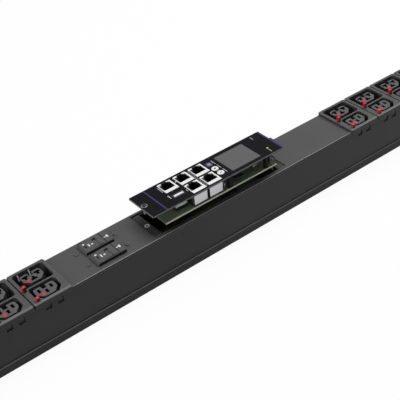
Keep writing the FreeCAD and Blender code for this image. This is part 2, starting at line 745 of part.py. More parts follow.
def bay_insert():
    """Six-sided threaded insert with its flange under the shelf, for the captive screw."""
    at = (CAPTIVE_X, 0)
    under = UNDER_COVER - SHEET
    flange = flat_sided_post(ROUND_COUNT, INSERT_FLANGE_W, at, (under - INSERT_FLANGE_T, under))
    sleeve = flat_sided_post(HEX_COUNT, INSERT_W, at, (UNDER_COVER - INSERT_L, UNDER_COVER))
    bore = flat_sided_post(ROUND_COUNT, INSERT_BORE_W, at, (UNDER_COVER - INSERT_L - PAST, UNDER_COVER + PAST))
    return merged([flange, sleeve]).cut(bore)


def plug_places():
    """Plan centres of the two plugs under the board."""
    y = PLUG_EDGE - BOARD_HALF
    x = BOARD_X0 + PLUG_INSET_LEFT
    return [(x, y), (x + PLUG_SPACING, y)]


def bay_sockets():
    """Sockets on the tray's floor that take the board's plugs."""
    sockets = []
    gap = 2 * PLUG_CLEAR
    for at in plug_places():
        room = (PLUG_L + gap, PLUG_W + gap)
        outer = (room[0] + 2 * SOCKET_WALL, room[1] + 2 * SOCKET_WALL)
        case = centred(at, outer, (BAY_FLOOR, BAY_FLOOR + SOCKET_H))
        sockets.append(case.cut(centred(at, room, (BAY_FLOOR + SOCKET_FLOOR, BAY_FLOOR + SOCKET_H + PAST))))
    return Part.makeCompound(sockets)


# Controller
def jack_places():
    """Plan centres of the network jacks: three along the far row and two along the near row."""
    columns = [PORT_X0 + JACK_W / 2 + PORT_PITCH * index for index in range(PORT_COLUMNS)]
    far = [(x, PORT_ROW_Y) for x in columns]
    near = [(x, -PORT_ROW_Y) for x in columns[1:]]
    return far + near


def usb_place():
    return (PORT_X0 + JACK_W / 2, USB_SHIFT - PORT_ROW_Y)


def button_places():
    """Plan centres of the menu buttons, from the far side to the near side."""
    first = BUTTON_PITCH * (BUTTON_COUNT - 1) / 2
    return [(BUTTON_X, first - BUTTON_PITCH * index) for index in range(BUTTON_COUNT)]


def lamp_places():
    return [(LAMP_X, -LAMP_Y), (LAMP_X, LAMP_Y)]


def display_half():
    return FASCIA_HALF - DISPLAY_EDGE


def fascia_panel():
    """Controller's front plate with an end tab and an opening for each port, button, lamp and screw."""
    z = (FASCIA_Z, FASCIA_TOP)
    plate = block((FASCIA_X0, FASCIA_X1), (-FASCIA_HALF, FASCIA_HALF), z)
    plate = bevel_edges(plate, FASCIA_BEVEL, is_upright)
    tab = block((FASCIA_X1, FASCIA_X1 + FASCIA_TAB_L), (-FASCIA_TAB_W / 2, FASCIA_TAB_W / 2), z)
    plate = merged([plate, tab])
    z = (FASCIA_Z - PAST, FASCIA_TOP + PAST)
    gap = 2 * PORT_CLEAR
    cuts = [centred(at, (JACK_W + gap, JACK_H + gap), z) for at in jack_places()]
    cuts.append(centred(usb_place(), (USB_SHELL_W + gap, USB_SHELL_H + gap), z))
    button_hole = 2 * (BUTTON_R + BUTTON_CLEAR)
    cuts.extend(flat_sided_post(ROUND_COUNT, button_hole, at, z) for at in button_places())
    lamp_hole = LAMP_SIZE + 2 * LAMP_CLEAR
    cuts.extend(centred(at, (lamp_hole, lamp_hole), z) for at in lamp_places())
    half = display_half() + DISPLAY_CLEAR
    display_x = (DISPLAY_X0 - DISPLAY_CLEAR, DISPLAY_X1 + DISPLAY_CLEAR)
    cuts.append(block(display_x, (-half, half), z))
    captive_hole = CAPTIVE_W + 2 * CAPTIVE_CLEAR
    cuts.append(centred((CAPTIVE_X, 0), (captive_hole, captive_hole), z))
    return plate.cut(cuts)


def network_jack(at):
    """Jack that stands on the board, with its keyed socket open at the fascia."""
    case = centred(at, (JACK_W, JACK_H), (BOARD_TOP, FASCIA_TOP))
    z = (FASCIA_TOP - JACK_DEEP, FASCIA_TOP + PAST)
    y = at[1] - JACK_H / 2 + JACK_BAND
    cuts = []
    steps = [
        (JACK_SOCKET_W, JACK_SOCKET_H),
        (JACK_KEY_W, JACK_SOCKET_H + JACK_KEY_H),
        (JACK_LATCH_W, JACK_SOCKET_H + JACK_KEY_H + JACK_LATCH_H),
    ]
    for width, height in steps:
        cuts.append(block((at[0] - width / 2, at[0] + width / 2), (y, y + height), z))
    return case.cut(merged(cuts))


def usb_port():
    """Port shell that stands on the board, with its contact tongue inside."""
    at = usb_place()
    case = centred(at, (USB_SHELL_W, USB_SHELL_H), (BOARD_TOP, FASCIA_TOP))
    room = (USB_SHELL_W - 2 * USB_WALL, USB_SHELL_H - 2 * USB_WALL)
    floor = FASCIA_TOP - USB_DEEP
    well = centred(at, room, (floor, FASCIA_TOP + PAST))
    tongue = centred(at, (USB_TONGUE_W, USB_TONGUE_H), (floor, FASCIA_TOP))
    return merged([case.cut(well), tongue])


def menu_button(at):
    """Button cap in the fascia, with a flange under it and a stem towards the board."""
    flange_top = FASCIA_Z - BUTTON_CLEAR
    foot = BOARD_TOP + BUTTON_TRAVEL + BUTTON_CLEAR
    cap = flat_sided_post(ROUND_COUNT, 2 * BUTTON_R, at, (flange_top, FASCIA_TOP + BUTTON_RISE))
    flange_z = (flange_top - BUTTON_FLANGE_T, flange_top)
    flange = flat_sided_post(ROUND_COUNT, 2 * (BUTTON_R + BUTTON_FLANGE), at, flange_z)
    stem = centred(at, (BUTTON_STEM, BUTTON_STEM), (foot, flange_top))
    return merged([cap, flange, stem])


def display_window():
    """Display with its glass in the fascia and a lip under the plate."""
    half = display_half()
    glass_z = (FASCIA_Z - DISPLAY_T, FASCIA_TOP - DISPLAY_SINK)
    glass = block((DISPLAY_X0, DISPLAY_X1), (-half, half), glass_z)
    lip_half = half + DISPLAY_LAP
    lip_x = (DISPLAY_X0 - DISPLAY_LAP, DISPLAY_X1 + DISPLAY_LAP)
    lip = block(lip_x, (-lip_half, lip_half), (FASCIA_Z - DISPLAY_LAP_T, FASCIA_Z))
    return merged([glass, lip])


def status_lamps():
    """Light pipes from the board to the fascia."""
    size = (LAMP_SIZE, LAMP_SIZE)
    return Part.makeCompound([centred(at, size, (BOARD_TOP, FASCIA_TOP)) for at in lamp_places()])


def controller_board():
    """Circuit board under the fascia."""
    return block((BOARD_X0, BOARD_X1), (-BOARD_HALF, BOARD_HALF), (BOARD_Z, BOARD_TOP))


def board_standoffs():
    """Posts between the board and the fascia, either side of the display."""
    y = BOARD_HALF - STANDOFF_EDGE
    posts = []
    for x in (DISPLAY_X0 - STANDOFF_GAP, DISPLAY_X1 + STANDOFF_GAP):
        for side in (-1, 1):
            posts.append(flat_sided_post(HEX_COUNT, STANDOFF_FLATS, (x, side * y), (BOARD_TOP, FASCIA_Z)))
    return Part.makeCompound(posts)


def board_plugs():
    """Plugs under the board."""
    size = (PLUG_L, PLUG_W)
    return Part.makeCompound([centred(at, size, (BOARD_Z - PLUG_H, BOARD_Z)) for at in plug_places()])


def captive_screw():
    """Screw that holds the controller down, with a six-sided socket in its head."""
    at = (CAPTIVE_X, 0)
    head_z = FASCIA_TOP + CAPTIVE_CLEAR
    top = head_z + CAPTIVE_HEAD_H
    head = flat_sided_post(ROUND_COUNT, CAPTIVE_HEAD_W, at, (head_z, top))
    shank = flat_sided_post(ROUND_COUNT, CAPTIVE_W, at, (FASCIA_Z - CAPTIVE_REACH, head_z))
    socket = flat_sided_post(HEX_COUNT, CAPTIVE_SOCKET_FLATS, at, (top - CAPTIVE_SOCKET_DEEP, top + PAST))
    return merged([head, shank]).cut(socket)


def sub_parts():
    """Every sub-part's name and shape."""
    parts = {
        "base_channel": base_channel(),
        "cover_shell": cover_shell(),
        "end_cap_left": end_cap_left(),
        "end_cap_right": end_cap(1),
        "gland_body": gland_body(),
        "gland_nut": gland_nut(),
        "breaker_screws": breaker_screws(),
        "bay_tray": bay_tray(),
        "bay_insert": bay_insert(),
        "bay_sockets": bay_sockets(),
        "fascia_panel": fascia_panel(),
        "usb_port": usb_port(),
        "display_window": display_window(),
        "status_lamps": status_lamps(),
        "controller_board": controller_board(),
        "board_standoffs": board_standoffs(),
        "board_plugs": board_plugs(),
        "captive_screw": captive_screw(),
    }
    for number, centre in enumerate(block_centres(), 1):
        parts[f"outlet_block_{number}"] = outlet_block(centre)
        for outlet in OUTLETS:
            parts[f"lock_latch_{outlet.name}_{number}"] = lock_latch(outlet, centre)
    for side, start in (("left", LEFT_BANK_X), ("right", RIGHT_BANK_X)):
        for kind in BAR_LAYERS:
            parts[f"{kind}_busbar_{side}"] = busbar(kind, start)
    for number, y in enumerate(breaker_rows(), 1):
        parts[f"breaker_body_{number}"] = breaker_body(y)
        parts[f"breaker_rocker_{number}"] = breaker_rocker(y)
    for number, at in enumerate(jack_places(), 1):
        parts[f"network_jack_{number}"] = network_jack(at)
    for number, at in enumerate(button_places(), 1):
        parts[f"menu_button_{number}"] = menu_button(at)
    return parts


def main():
    os.makedirs("parts", exist_ok=True)
    for name, shape in sub_parts().items():
        shape.exportStep(f"parts/{name}.step")


if __name__ == "__main__":
    main()
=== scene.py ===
import math
from contextlib import contextmanager

import bmesh
import bpy
from bpy.props import FloatProperty, FloatVectorProperty, PointerProperty
from mathutils import Matrix, Vector


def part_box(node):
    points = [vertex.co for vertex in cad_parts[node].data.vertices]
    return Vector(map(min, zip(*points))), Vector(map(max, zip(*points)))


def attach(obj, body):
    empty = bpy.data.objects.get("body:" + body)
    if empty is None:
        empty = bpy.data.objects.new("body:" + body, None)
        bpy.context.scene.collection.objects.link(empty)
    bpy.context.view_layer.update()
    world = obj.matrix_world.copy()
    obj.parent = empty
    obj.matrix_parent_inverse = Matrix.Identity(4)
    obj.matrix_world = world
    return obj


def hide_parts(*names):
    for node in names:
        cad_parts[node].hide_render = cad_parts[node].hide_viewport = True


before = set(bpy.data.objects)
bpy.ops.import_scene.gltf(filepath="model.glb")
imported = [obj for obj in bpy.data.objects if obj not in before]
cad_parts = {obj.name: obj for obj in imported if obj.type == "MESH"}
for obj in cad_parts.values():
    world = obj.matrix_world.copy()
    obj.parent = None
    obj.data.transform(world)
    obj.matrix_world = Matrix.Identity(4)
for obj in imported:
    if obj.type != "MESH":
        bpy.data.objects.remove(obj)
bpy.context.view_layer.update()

bl_info = {
    "name": "Rack Power Strip",
    "version": (1, 0, 0),
    "blender": (4, 5, 0),
    "location": "View3D > Sidebar > Power Strip",
    "description": "Finishes and small fittings of a rack power distribution unit with a lift-out controller",
    "category": "Object",
}

MM = 0.001
UP = Vector((0, 0, 1))
ORIGIN = Vector((0, 0, 0))
SMOOTH_ANGLE = math.radians(35.0)
STRAIGHT = 1e-6
FLAT = 0.9


def box_of(node):
    """Low and high corner of a CAD node, in millimetres."""
    return [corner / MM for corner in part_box(node)]


def nodes_named(*starts):
    """Names of the CAD nodes that begin with any of the words."""
    return [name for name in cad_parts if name.startswith(starts)]


# Places taken from the solids, in millimetres
BLOCK_COUNT = 8
LEFT_BANK = (1, 2, 3, 4)
JACKS = [f"network_jack_{number}" for number in range(1, 6)]
BUTTONS = [f"menu_button_{number}" for number in range(1, 4)]
FASCIA_LOW, FASCIA_HIGH = box_of("fascia_panel")
BOARD_LOW, BOARD_HIGH = box_of("controller_board")
COVER_LOW, COVER_HIGH = box_of("cover_shell")
CORE_TOP = box_of("outlet_block_1")[1].z - 1.0


# Modelling, with all lengths in millimetres
def take(*pieces):
    """Selects pieces and nothing else, and makes the first active."""
    bpy.ops.object.select_all(action="DESELECT")
    for piece in pieces:
        piece.select_set(True)
    bpy.context.view_layer.objects.active = pieces[0]


@contextmanager
def editing(obj):
    """Edit mode on one object."""
    take(obj)
    bpy.ops.object.mode_set(mode="EDIT")
    yield
    bpy.ops.object.mode_set(mode="OBJECT")


def extrude(x, y, z):
    """In edit mode, draws out what is selected."""
    bpy.ops.mesh.extrude_region_move(TRANSFORM_OT_translate={"value": (x * MM, y * MM, z * MM)})


def pick(obj, kind, test):
    """In edit mode, selects the edges or faces that pass the test."""
    bpy.ops.mesh.select_mode(type=kind)
    bpy.ops.mesh.select_all(action="DESELECT")
    mesh = bmesh.from_edit_mesh(obj.data)
    for item in mesh.edges if kind == "EDGE" else mesh.faces:
        if test(item):
            item.select_set(True)
    bmesh.update_edit_mesh(obj.data)


def upright(edge):
    return (edge.verts[0].co - edge.verts[1].co).xy.length < STRAIGHT


def above(edge, height):
    return min(vert.co.z for vert in edge.verts) > height * MM


def looks_up(face):
    return face.normal.z > FLAT


def box_piece(low, high, turn=0.0):
    """Starts a piece as a box between two corners, turned about its own upright axis."""
    low, high = Vector(low) * MM, Vector(high) * MM
    bpy.ops.mesh.primitive_cube_add(size=1.0, location=(low + high) / 2, rotation=(0, 0, turn), scale=high - low)
    bpy.ops.object.transform_apply()
    return bpy.context.object


def turned_piece(foot, rings, sides):
    """Makes a turned piece from (radius, height) rings over its foot, by extruding and resizing."""
    foot = Vector(foot)
    radius, height = rings[0]
    bpy.ops.mesh.primitive_circle_add(
        vertices=sides, radius=radius * MM, fill_type="NGON", location=(foot + UP * height) * MM)
    bpy.ops.object.transform_apply()
    piece = bpy.context.object
    with editing(piece):
        bpy.ops.mesh.select_all(action="SELECT")
        for next_radius, next_height in rings[1:]:
            extrude(0, 0, next_height - height)
            size = next_radius / radius
            bpy.ops.transform.resize(value=(size, size, 1), center_override=(foot + UP * next_height) * MM)
            radius, height = next_radius, next_height
        bpy.ops.mesh.select_all(action="SELECT")
        bpy.ops.mesh.normals_make_consistent(inside=False)
    return piece


def soften(obj, size, segments=2, test=lambda edge: True):
    """Bevels the edges that pass the test, or all of them."""
    with editing(obj):
        pick(obj, "EDGE", test)
        bpy.ops.mesh.bevel(offset=size * MM, segments=segments, affect="EDGES")


def press_in(obj, margin, depth, test):
    """Insets the faces that pass the test and pushes them in by a depth."""
    with editing(obj):
        pick(obj, "FACE", test)
        bpy.ops.mesh.inset(thickness=margin * MM, depth=-depth * MM)


def plain_bar(centre, length, width, rise, corner, turn=0.0):
    """A thin bar with rounded corners."""
    half = Vector((length / 2, width / 2, rise))
    bar = box_piece(centre - half, centre + half, turn)
    soften(bar, corner, 2, upright)
    return bar


def bent_strip(foot, size, *moves):
    """A thin strip whose upper end is drawn on by each move in turn."""
    strip = box_piece(foot, foot + Vector(size))
    with editing(strip):
        pick(strip, "FACE", looks_up)
        for move in moves:
            extrude(*move)
    return strip


def modify(obj, kind, **values):
    """Applies a modifier to one object."""
    take(obj)
    modifier = obj.modifiers.new(kind, kind)
    for name, value in values.items():
        setattr(modifier, name, value)
    bpy.ops.object.modifier_apply(modifier=modifier.name)


def row_of(obj, count, pitch):
    """Repeats a piece along X within its own mesh."""
    modify(obj, "ARRAY", count=count, use_relative_offset=False, use_constant_offset=True,
           constant_offset_displace=(pitch * MM, 0, 0))


def joined(pieces):
    """Joins pieces into the first of them."""
    take(*pieces)
    bpy.ops.object.join()
    return pieces[0]


def copied(obj, shift):
    """A copy with its own mesh, moved by a shift."""
    take(obj)
    bpy.ops.object.duplicate(linked=False)
    bpy.ops.transform.translate(value=Vector(shift) * MM)
    bpy.ops.object.transform_apply()
    return bpy.context.object


def laid(obj, point, normal):
    """Moves a piece that was made flat at the origin onto a surface point, square to its normal."""
    take(obj)
    turn = UP.rotation_difference(normal).to_matrix().to_4x4()
    obj.matrix_world = Matrix.Translation(Vector(point) * MM) @ turn
    bpy.ops.object.transform_apply()
    return obj


def surface_at(node, start, direction):
    """Point and normal where a ray from a place meets a CAD node."""
    hit, point, normal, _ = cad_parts[node].ray_cast(Vector(start) * MM, direction)
    if not hit:
        raise RuntimeError(f"no surface of {node} from {start}")
    return point / MM, normal


def mount(obj, name, body, finish):
    """Names a finished piece, and gives it its finish and the body that carries it."""
    obj.name = obj.data.name = name
    obj.data.materials.clear()
    obj.data.materials.append(finish.material)
    take(obj)
    bpy.ops.object.shade_smooth_by_angle(angle=SMOOTH_ANGLE)
    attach(obj, body)


def dress(finish, *names):
    """Gives CAD nodes a finish."""
    for name in names:
        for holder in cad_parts[name].material_slots:
            holder.material = finish.material


# Shader nodes
def feed(tree, socket, value):
    """Links a socket to another, or gives it a plain value."""
    if isinstance(value, bpy.types.NodeSocket):
        tree.links.new(value, socket)
    else:
        socket.default_value = value


def add_node(tree, kind, inputs=(), **settings):
    """Adds a node with its settings and what feeds its inputs, and gives its outputs."""
    node = tree.nodes.new(f"ShaderNode{kind}")
    for name, value in settings.items():
        setattr(node, name, value)
    for label, value in dict(inputs).items():
        feed(tree, node.inputs[label], value)
    return node.outputs


def calc(tree, operation, first, second=0.0, clamp=False):
    return add_node(tree, "Math", {0: first, 1: second}, operation=operation, use_clamp=clamp)[0]


def mixed(tree, factor, first, second):
    """A colour mix fed by sockets or plain colours."""
    first, second = (
        value if isinstance(value, bpy.types.NodeSocket) else (*value[:3], 1.0) for value in (first, second))
    return add_node(tree, "Mix", {0: factor, 6: first, 7: second}, data_type="RGBA")[2]


def object_place(tree):
    return add_node(tree, "TexCoord")["Object"]


def axes_of(tree, vector):
    return add_node(tree, "SeparateXYZ", {0: vector})


# Shader groups shared by the finishes
GROUPS = {}
ZERO = (0.0, 0.0, 0.0)
EDGE_SAMPLES = 6
EDGE_GAIN = 5.0
TRACK_WAVE = 0.16
TRACK_LEVEL = 0.11
BLOCK_PITCH = 44.45
FIRST_BLOCK = 218.525
SLOTS_ALONG = (-7.0, 7.0, 0.0)
SLOT_RIMS = (
    # middles across the block, half sizes along and across
    ((-12.1, -12.1, -16.4), 1.65, 2.9), ((14.7, 14.7, 10.4), 1.6, 2.9), ((16.6, 16.6, 8.5), 3.5, 1.65),
)


def new_group(name, inputs, outputs):
    """An empty shader group whose sockets are floats, or vectors where the default is a tuple."""
    tree = bpy.data.node_groups.new(name, "ShaderNodeTree")
    for way, sockets in (("INPUT", inputs), ("OUTPUT", outputs)):
        for label, default in sockets.items():
            kind = "NodeSocketVector" if isinstance(default, tuple) else "NodeSocketFloat"
            tree.interface.new_socket(label, in_out=way, socket_type=kind).default_value = default
    return tree, tree.nodes.new("NodeGroupInput").outputs, tree.nodes.new("NodeGroupOutput").inputs


def group_in(tree, name, values=()):
    """Places a shared group in a material with its own values."""
    return add_node(tree, "Group", values, node_tree=GROUPS[name])


def grain_group():
    """Fine grain and broad mottling on object coordinates."""
    tree, inside, outside = new_group(
        "Surface Grain", {"Grain Scale": 1000.0, "Mottle Scale": 30.0}, {"Grain": 0.0, "Mottle": 0.0})
    place = object_place(tree)
    for label, detail in (("Grain", 3.0), ("Mottle", 4.0)):
        noise = add_node(tree, "TexNoise", {"Vector": place, "Scale": inside[f"{label} Scale"], "Detail": detail})
        tree.links.new(noise[0], outside[label])
    return tree


def edge_group():
    """Rounded normals at sharp edges, and a mask of where they are."""
    tree, inside, outside = new_group("Worn Edge", {"Radius": 0.0004}, {"Edge": 0.0, "Normal": ZERO})
    rounded = add_node(tree, "Bevel", {"Radius": inside["Radius"]}, samples=EDGE_SAMPLES)["Normal"]
    plain = add_node(tree, "NewGeometry")["Normal"]
    dot = add_node(tree, "VectorMath", {0: rounded, 1: plain}, operation="DOT_PRODUCT")["Value"]
    edge = calc(tree, "MULTIPLY", calc(tree, "SUBTRACT", 1.0, dot), EDGE_GAIN, clamp=True)
    tree.links.new(edge, outside["Edge"])
    tree.links.new(rounded, outside["Normal"])
    return tree


def region_group():
    """A mask of a box in object coordinates, faded over a width at its faces."""
    tree, inside, outside = new_group("Box Region", {"Low": ZERO, "High": ZERO, "Fade": ZERO}, {"Inside": 0.0})
    place = axes_of(tree, object_place(tree))
    low, high, fade = (axes_of(tree, inside[label]) for label in ("Low", "High", "Fade"))
    mask = 1.0
    for axis in range(3):
        for first, second in ((place[axis], low[axis]), (high[axis], place[axis])):
            depth = calc(tree, "SUBTRACT", first, second)
            mask = calc(tree, "MULTIPLY", calc(tree, "DIVIDE", depth, fade[axis], clamp=True), mask)
    tree.links.new(mask, outside["Inside"])
    return tree


def trace_group():
    """Narrow copper tracks that run along a board in stepped paths."""
    tree, inside, outside = new_group("Board Tracks", {"Scale": 160.0}, {"Track": 0.0})
    cells = add_node(tree, "TexVoronoi", {"Vector": object_place(tree), "Scale": inside["Scale"]},
                     distance="MANHATTAN", feature="F1")
    wave = calc(tree, "PINGPONG", cells["Distance"], TRACK_WAVE)
    tree.links.new(calc(tree, "GREATER_THAN", wave, TRACK_LEVEL), outside["Track"])
    return tree


def slot_group():
    """Mask of the contact slots and their rims in every outlet block, where shade is painted dark."""
    tree, inside, outside = new_group(
        "Slot Rims", {"Pitch": BLOCK_PITCH * MM, "First": FIRST_BLOCK * MM}, {"Rim": 0.0})
    along, across, _ = axes_of(tree, object_place(tree))
    start = calc(tree, "MULTIPLY", calc(tree, "SIGN", along), inside["First"])
    run = calc(tree, "SUBTRACT", along, start)
    count = calc(tree, "ROUND", calc(tree, "DIVIDE", run, inside["Pitch"]))
    local = calc(tree, "SUBTRACT", run, calc(tree, "MULTIPLY", count, inside["Pitch"]))
    rim = 0.0
    for middles, half_x, half_y in SLOT_RIMS:
        for x, y in zip(SLOTS_ALONG, middles):
            near = 1.0
            for place, middle, half in ((local, x, half_x), (across, y, half_y)):
                reach = calc(tree, "ABSOLUTE", calc(tree, "SUBTRACT", place, middle * MM))
                near = calc(tree, "MULTIPLY", calc(tree, "LESS_THAN", reach, half * MM), near)
            rim = calc(tree, "MAXIMUM", near, rim)
    tree.links.new(rim, outside["Rim"])
    return tree


# Finishes
OPEN = (None, None)
HAIRLINE = (0.001, 0.001, 0.001)
MOTTLE_SCALE = 35.0
# edges are lightened towards a pale tone, partly as wear and partly as a painted highlight
EDGE_WEAR_AND_HIGHLIGHT_SHARE = 0.45
EDGE_WEAR_AND_HIGHLIGHT_TONE = (0.8, 0.8, 0.82)
ROUGH_SPREAD = 0.16
BUMP_STRENGTH = 0.6


def grey(level, blue=0.0):
    """A grey with a little more blue."""
    return level, level, level + blue


def field(colour, x=OPEN, y=OPEN, z=OPEN, fade=HAIRLINE):
    """A coloured box for a finish: its spans in millimetres, open where None, and its fade for each axis."""
    low = [-1.0 if start is None else start * MM for start, _ in (x, y, z)]
    high = [1.0 if end is None else end * MM for _, end in (x, y, z)]
    return colour, {"Low": low, "High": high, "Fade": [width * MM for width in fade]}


def in_field(tree, shade):
    """Mask of a field's box."""
    return group_in(tree, "Box Region", shade[1])["Inside"]


class Finish:
    """A procedural surface: mottled colour, grain in the bump, and lighter edges that are partly wear and partly a
    painted highlight.
    """

    def __init__(self, name, colour, roughness, specular=0.3, metallic=0.0, grain=1200, depth=0.02,
                 mottle=0.08, edge=0.35, radius=0.3, fields=()):
        self.material = bpy.data.materials.new(name)
        self.material.use_nodes = True
        self.tree = tree = self.material.node_tree
        self.inputs = tree.nodes["Principled BSDF"].inputs
        surface = group_in(tree, "Surface Grain", {"Grain Scale": grain, "Mottle Scale": MOTTLE_SCALE})
        edge_wear_and_highlight = group_in(tree, "Worn Edge", {"Radius": radius * MM})
        tone = colour
        for shade in fields:
            tone = mixed(tree, in_field(tree, shade), tone, shade[0])
        base = mixed(tree, surface["Mottle"], mixed(tree, mottle, tone, ZERO), tone)
        # lighter edges: partly wear, partly a painted highlight
        lighter = mixed(tree, EDGE_WEAR_AND_HIGHLIGHT_SHARE, tone, EDGE_WEAR_AND_HIGHLIGHT_TONE)
        spread = calc(tree, "MULTIPLY", surface["Grain"], ROUGH_SPREAD)
        bump = add_node(tree, "Bump", {"Strength": BUMP_STRENGTH, "Distance": depth * MM,
                                       "Height": surface["Grain"], "Normal": edge_wear_and_highlight["Normal"]})
        for label, value in {
            "Base Color": mixed(tree, calc(tree, "MULTIPLY", edge_wear_and_highlight["Edge"], edge), base, lighter),
            "Roughness": calc(tree, "ADD", spread, roughness - ROUGH_SPREAD / 2, clamp=True),
            "Normal": bump["Normal"],
            "Specular IOR Level": specular,
            "Metallic": metallic,
        }.items():
            feed(tree, self.inputs[label], value)

    def lay_over(self, mask, colour):
        """Mixes a colour over the finish by a mask."""
        base = self.inputs["Base Color"]
        self.tree.links.new(mixed(self.tree, mask, base.links[0].from_socket, colour), base)


# Settings that a user would change
def tint(name, description, default):
    return FloatVectorProperty(name=name, description=description, subtype="COLOR", size=3, min=0.0, max=1.0,
                               default=default)


def extent(name, description, millimetres):
    return FloatProperty(name=name, description=description, unit="LENGTH", subtype="DISTANCE", min=0.0,
                         default=millimetres * MM)


def wattage(name, description, watts):
    return FloatProperty(name=name, description=description, unit="POWER", min=0.0, default=watts)


class HousingSettings(bpy.types.PropertyGroup):
    """Finish of the sheet metal housing."""

    paint: tint("Paint", "Powder coat of the cover and base", (0.066, 0.066, 0.068))
    # the tone inside the bay below the shelf is painted shade
    tray_paint: tint("Tray painted shade", "Paint inside the controller bay", (0.030, 0.030, 0.026))
    cap: tint("End caps", "Plastic of the end caps", (0.05, 0.05, 0.052))
    gland: tint("Gland", "Plastic of the cord gland", (0.022, 0.022, 0.023))
    rivet_radius: extent("Rivet radius", "Radius of the small rivets in the sides", 1.0)


class OutletSettings(bpy.types.PropertyGroup):
    """Finish of the outlet blocks and their latches."""

    moulding: tint("Moulding", "Plastic of the outlet blocks", (0.074, 0.074, 0.076))
    latch: tint("Latch", "Plastic of the lock latches", (0.64, 0.022, 0.032))
    copper: tint("Copper", "Metal of the busbars", (0.72, 0.40, 0.22))
    post: extent("Latch post", "Width of a latch's square post", 3.6)
    tongue_radius: extent("Tongue radius", "Radius of a latch's round tongue", 2.25)
    tongue_flats: extent("Tongue flats", "Width over the flats of the solid tongue", 4.0)
    tongue_rise: extent("Tongue rise", "Height of the tongue over its outlet's core", 0.5)
    spring_height: extent("Spring height", "Height of the spring strips in the wide outlets", 6.4)


class BreakerSettings(bpy.types.PropertyGroup):
    """Finish of the branch breakers."""

    case: tint("Case", "Plastic of the breaker cases", (0.066, 0.066, 0.068))
    rocker: tint("Rocker", "Plastic of the rockers", (0.072, 0.072, 0.074))
    mark: tint("Marks", "Print on the rockers and cases", (0.80, 0.80, 0.80))
    screw: tint("Screws", "Finish of the fixing screws", (0.060, 0.060, 0.062))


class ControllerSettings(bpy.types.PropertyGroup):
    """Finish of the lift-out controller."""

    overlay: tint("Overlay", "Face of the front plate", (0.0052, 0.0052, 0.0068))
    band: tint("Bands", "Bands across the front plate", (0.070, 0.050, 0.165))
    print_light: tint("Print", "Short label bars", (0.42, 0.42, 0.44))
    display: tint("Display", "Grey of the display", (0.098, 0.098, 0.098))
    jack: tint("Jacks", "Plastic of the network jacks", (0.86, 0.86, 0.87))
    steel: tint("Steel", "Plated steel parts", (0.52, 0.52, 0.53))
    board: tint("Board", "Solder mask of the circuit board", (0.128, 0.156, 0.108))
    board_edge: tint("Board edge", "Bare edge of the circuit board", (0.94, 0.95, 0.82))
    lamp_glow: FloatProperty(name="Lamp glow", description="Strength of the lit status lamp", min=0.0, default=0.1)
    button_radius: extent("Button radius", "Radius of the menu buttons", 4.0)


class StageSettings(bpy.types.PropertyGroup):
    """Camera and light."""

    lens: FloatProperty(name="Lens", description="Focal length of the camera", subtype="DISTANCE_CAMERA",
                        min=1.0, default=87.51)
    overhead: wattage("Overhead", "Power of the light above", 33.5)
    front: wattage("Front", "Power of the light in front", 1.2)
    left: wattage("Left", "Power of the light on the left", 15.0)
    ambient: FloatProperty(name="Ambient", description="Light from all round", min=0.0, default=0.18)
    floor_size: extent("Floor size", "Width of the floor", 8000.0)


class StripSettings(bpy.types.PropertyGroup):
    """All settings of the power strip."""

    housing: PointerProperty(type=HousingSettings)
    outlets: PointerProperty(type=OutletSettings)
    breakers: PointerProperty(type=BreakerSettings)
    controller: PointerProperty(type=ControllerSettings)
    stage: PointerProperty(type=StageSettings)


# Stage, in metres
CAMERA_PLACE = Vector((-0.505, -0.70815, 0.70136))
CAMERA_RIGHT = Vector((0.78073628, -0.61946007, -0.08197615))
CAMERA_FORWARD = Vector((0.45853942, 0.65709628, -0.59830267))
CAMERA_SHIFT = (-0.001, -0.0015)
CAMERA_START = 0.05
SENSOR_WIDTH = 36.0
WHITE = (1.0, 1.0, 1.0, 1.0)
FLOOR_BOUNCE = (0.30, 0.30, 0.30, 1.0)
FLOOR_SEEN = (0.95, 0.95, 0.95, 1.0)
FLOOR_GLOW = 0.93
LIGHTS = (
    # setting, place, target, size
    ("overhead", (0.62, 0.25, 1.9), (0.05, 0.0, 0.0), 1.6),
    ("front", (1.0, -1.3, 1.45), (0.0, 0.0, 0.05), 0.7),
    ("left", (-2.0, -0.15, 0.7), (-0.1, 0.0, 0.05), 0.7),
)


def seen_or_not(tree, output, low, white):
    """Shows the white look to rays that see it directly, in a mirror or through glass, and else the low one."""
    path = add_node(tree, "LightPath")
    seen = calc(tree, "ADD", path["Is Camera Ray"], path["Is Glossy Ray"])
    seen = calc(tree, "ADD", seen, path["Is Transmission Ray"], clamp=True)
    surface = add_node(tree, "MixShader", {0: seen, 1: low, 2: white})[0]
    tree.links.new(surface, tree.nodes[output].inputs["Surface"])


def floor_material():
    """Pale floor that the camera sees as white, with the shadow kept."""
    material = bpy.data.materials.new("stage_floor")
    material.use_nodes = True
    tree = material.node_tree
    tree.nodes.remove(tree.nodes["Principled BSDF"])
    bounce, seen = (add_node(tree, "BsdfDiffuse", {"Color": tone})[0] for tone in (FLOOR_BOUNCE, FLOOR_SEEN))
    glow = add_node(tree, "Emission")[0]
    white = add_node(tree, "MixShader", {0: FLOOR_GLOW, 1: seen, 2: glow})[0]
    seen_or_not(tree, "Material Output", bounce, white)
    return material


def set_world(ambient):
    """White to the camera, and a low even light on the object."""
    world = bpy.data.worlds.new("stage_world")
    bpy.context.scene.world = world
    world.use_nodes = True
    tree = world.node_tree
    tree.nodes.remove(tree.nodes["Background"])
    low, white = (add_node(tree, "Background", {"Color": WHITE, "Strength": level})[0] for level in (ambient, 1.0))
    seen_or_not(tree, "World Output", low, white)


def soft_light(name, place, target, size, watts):
    """A square soft light that faces a point."""
    bpy.ops.object.light_add(type="AREA", location=place)
    lamp = bpy.context.object
    lamp.name = lamp.data.name = name
    lamp.data.size = size
    lamp.data.energy = watts
    lamp.rotation_euler = (Vector(target) - Vector(place)).to_track_quat("-Z", "Y").to_euler()


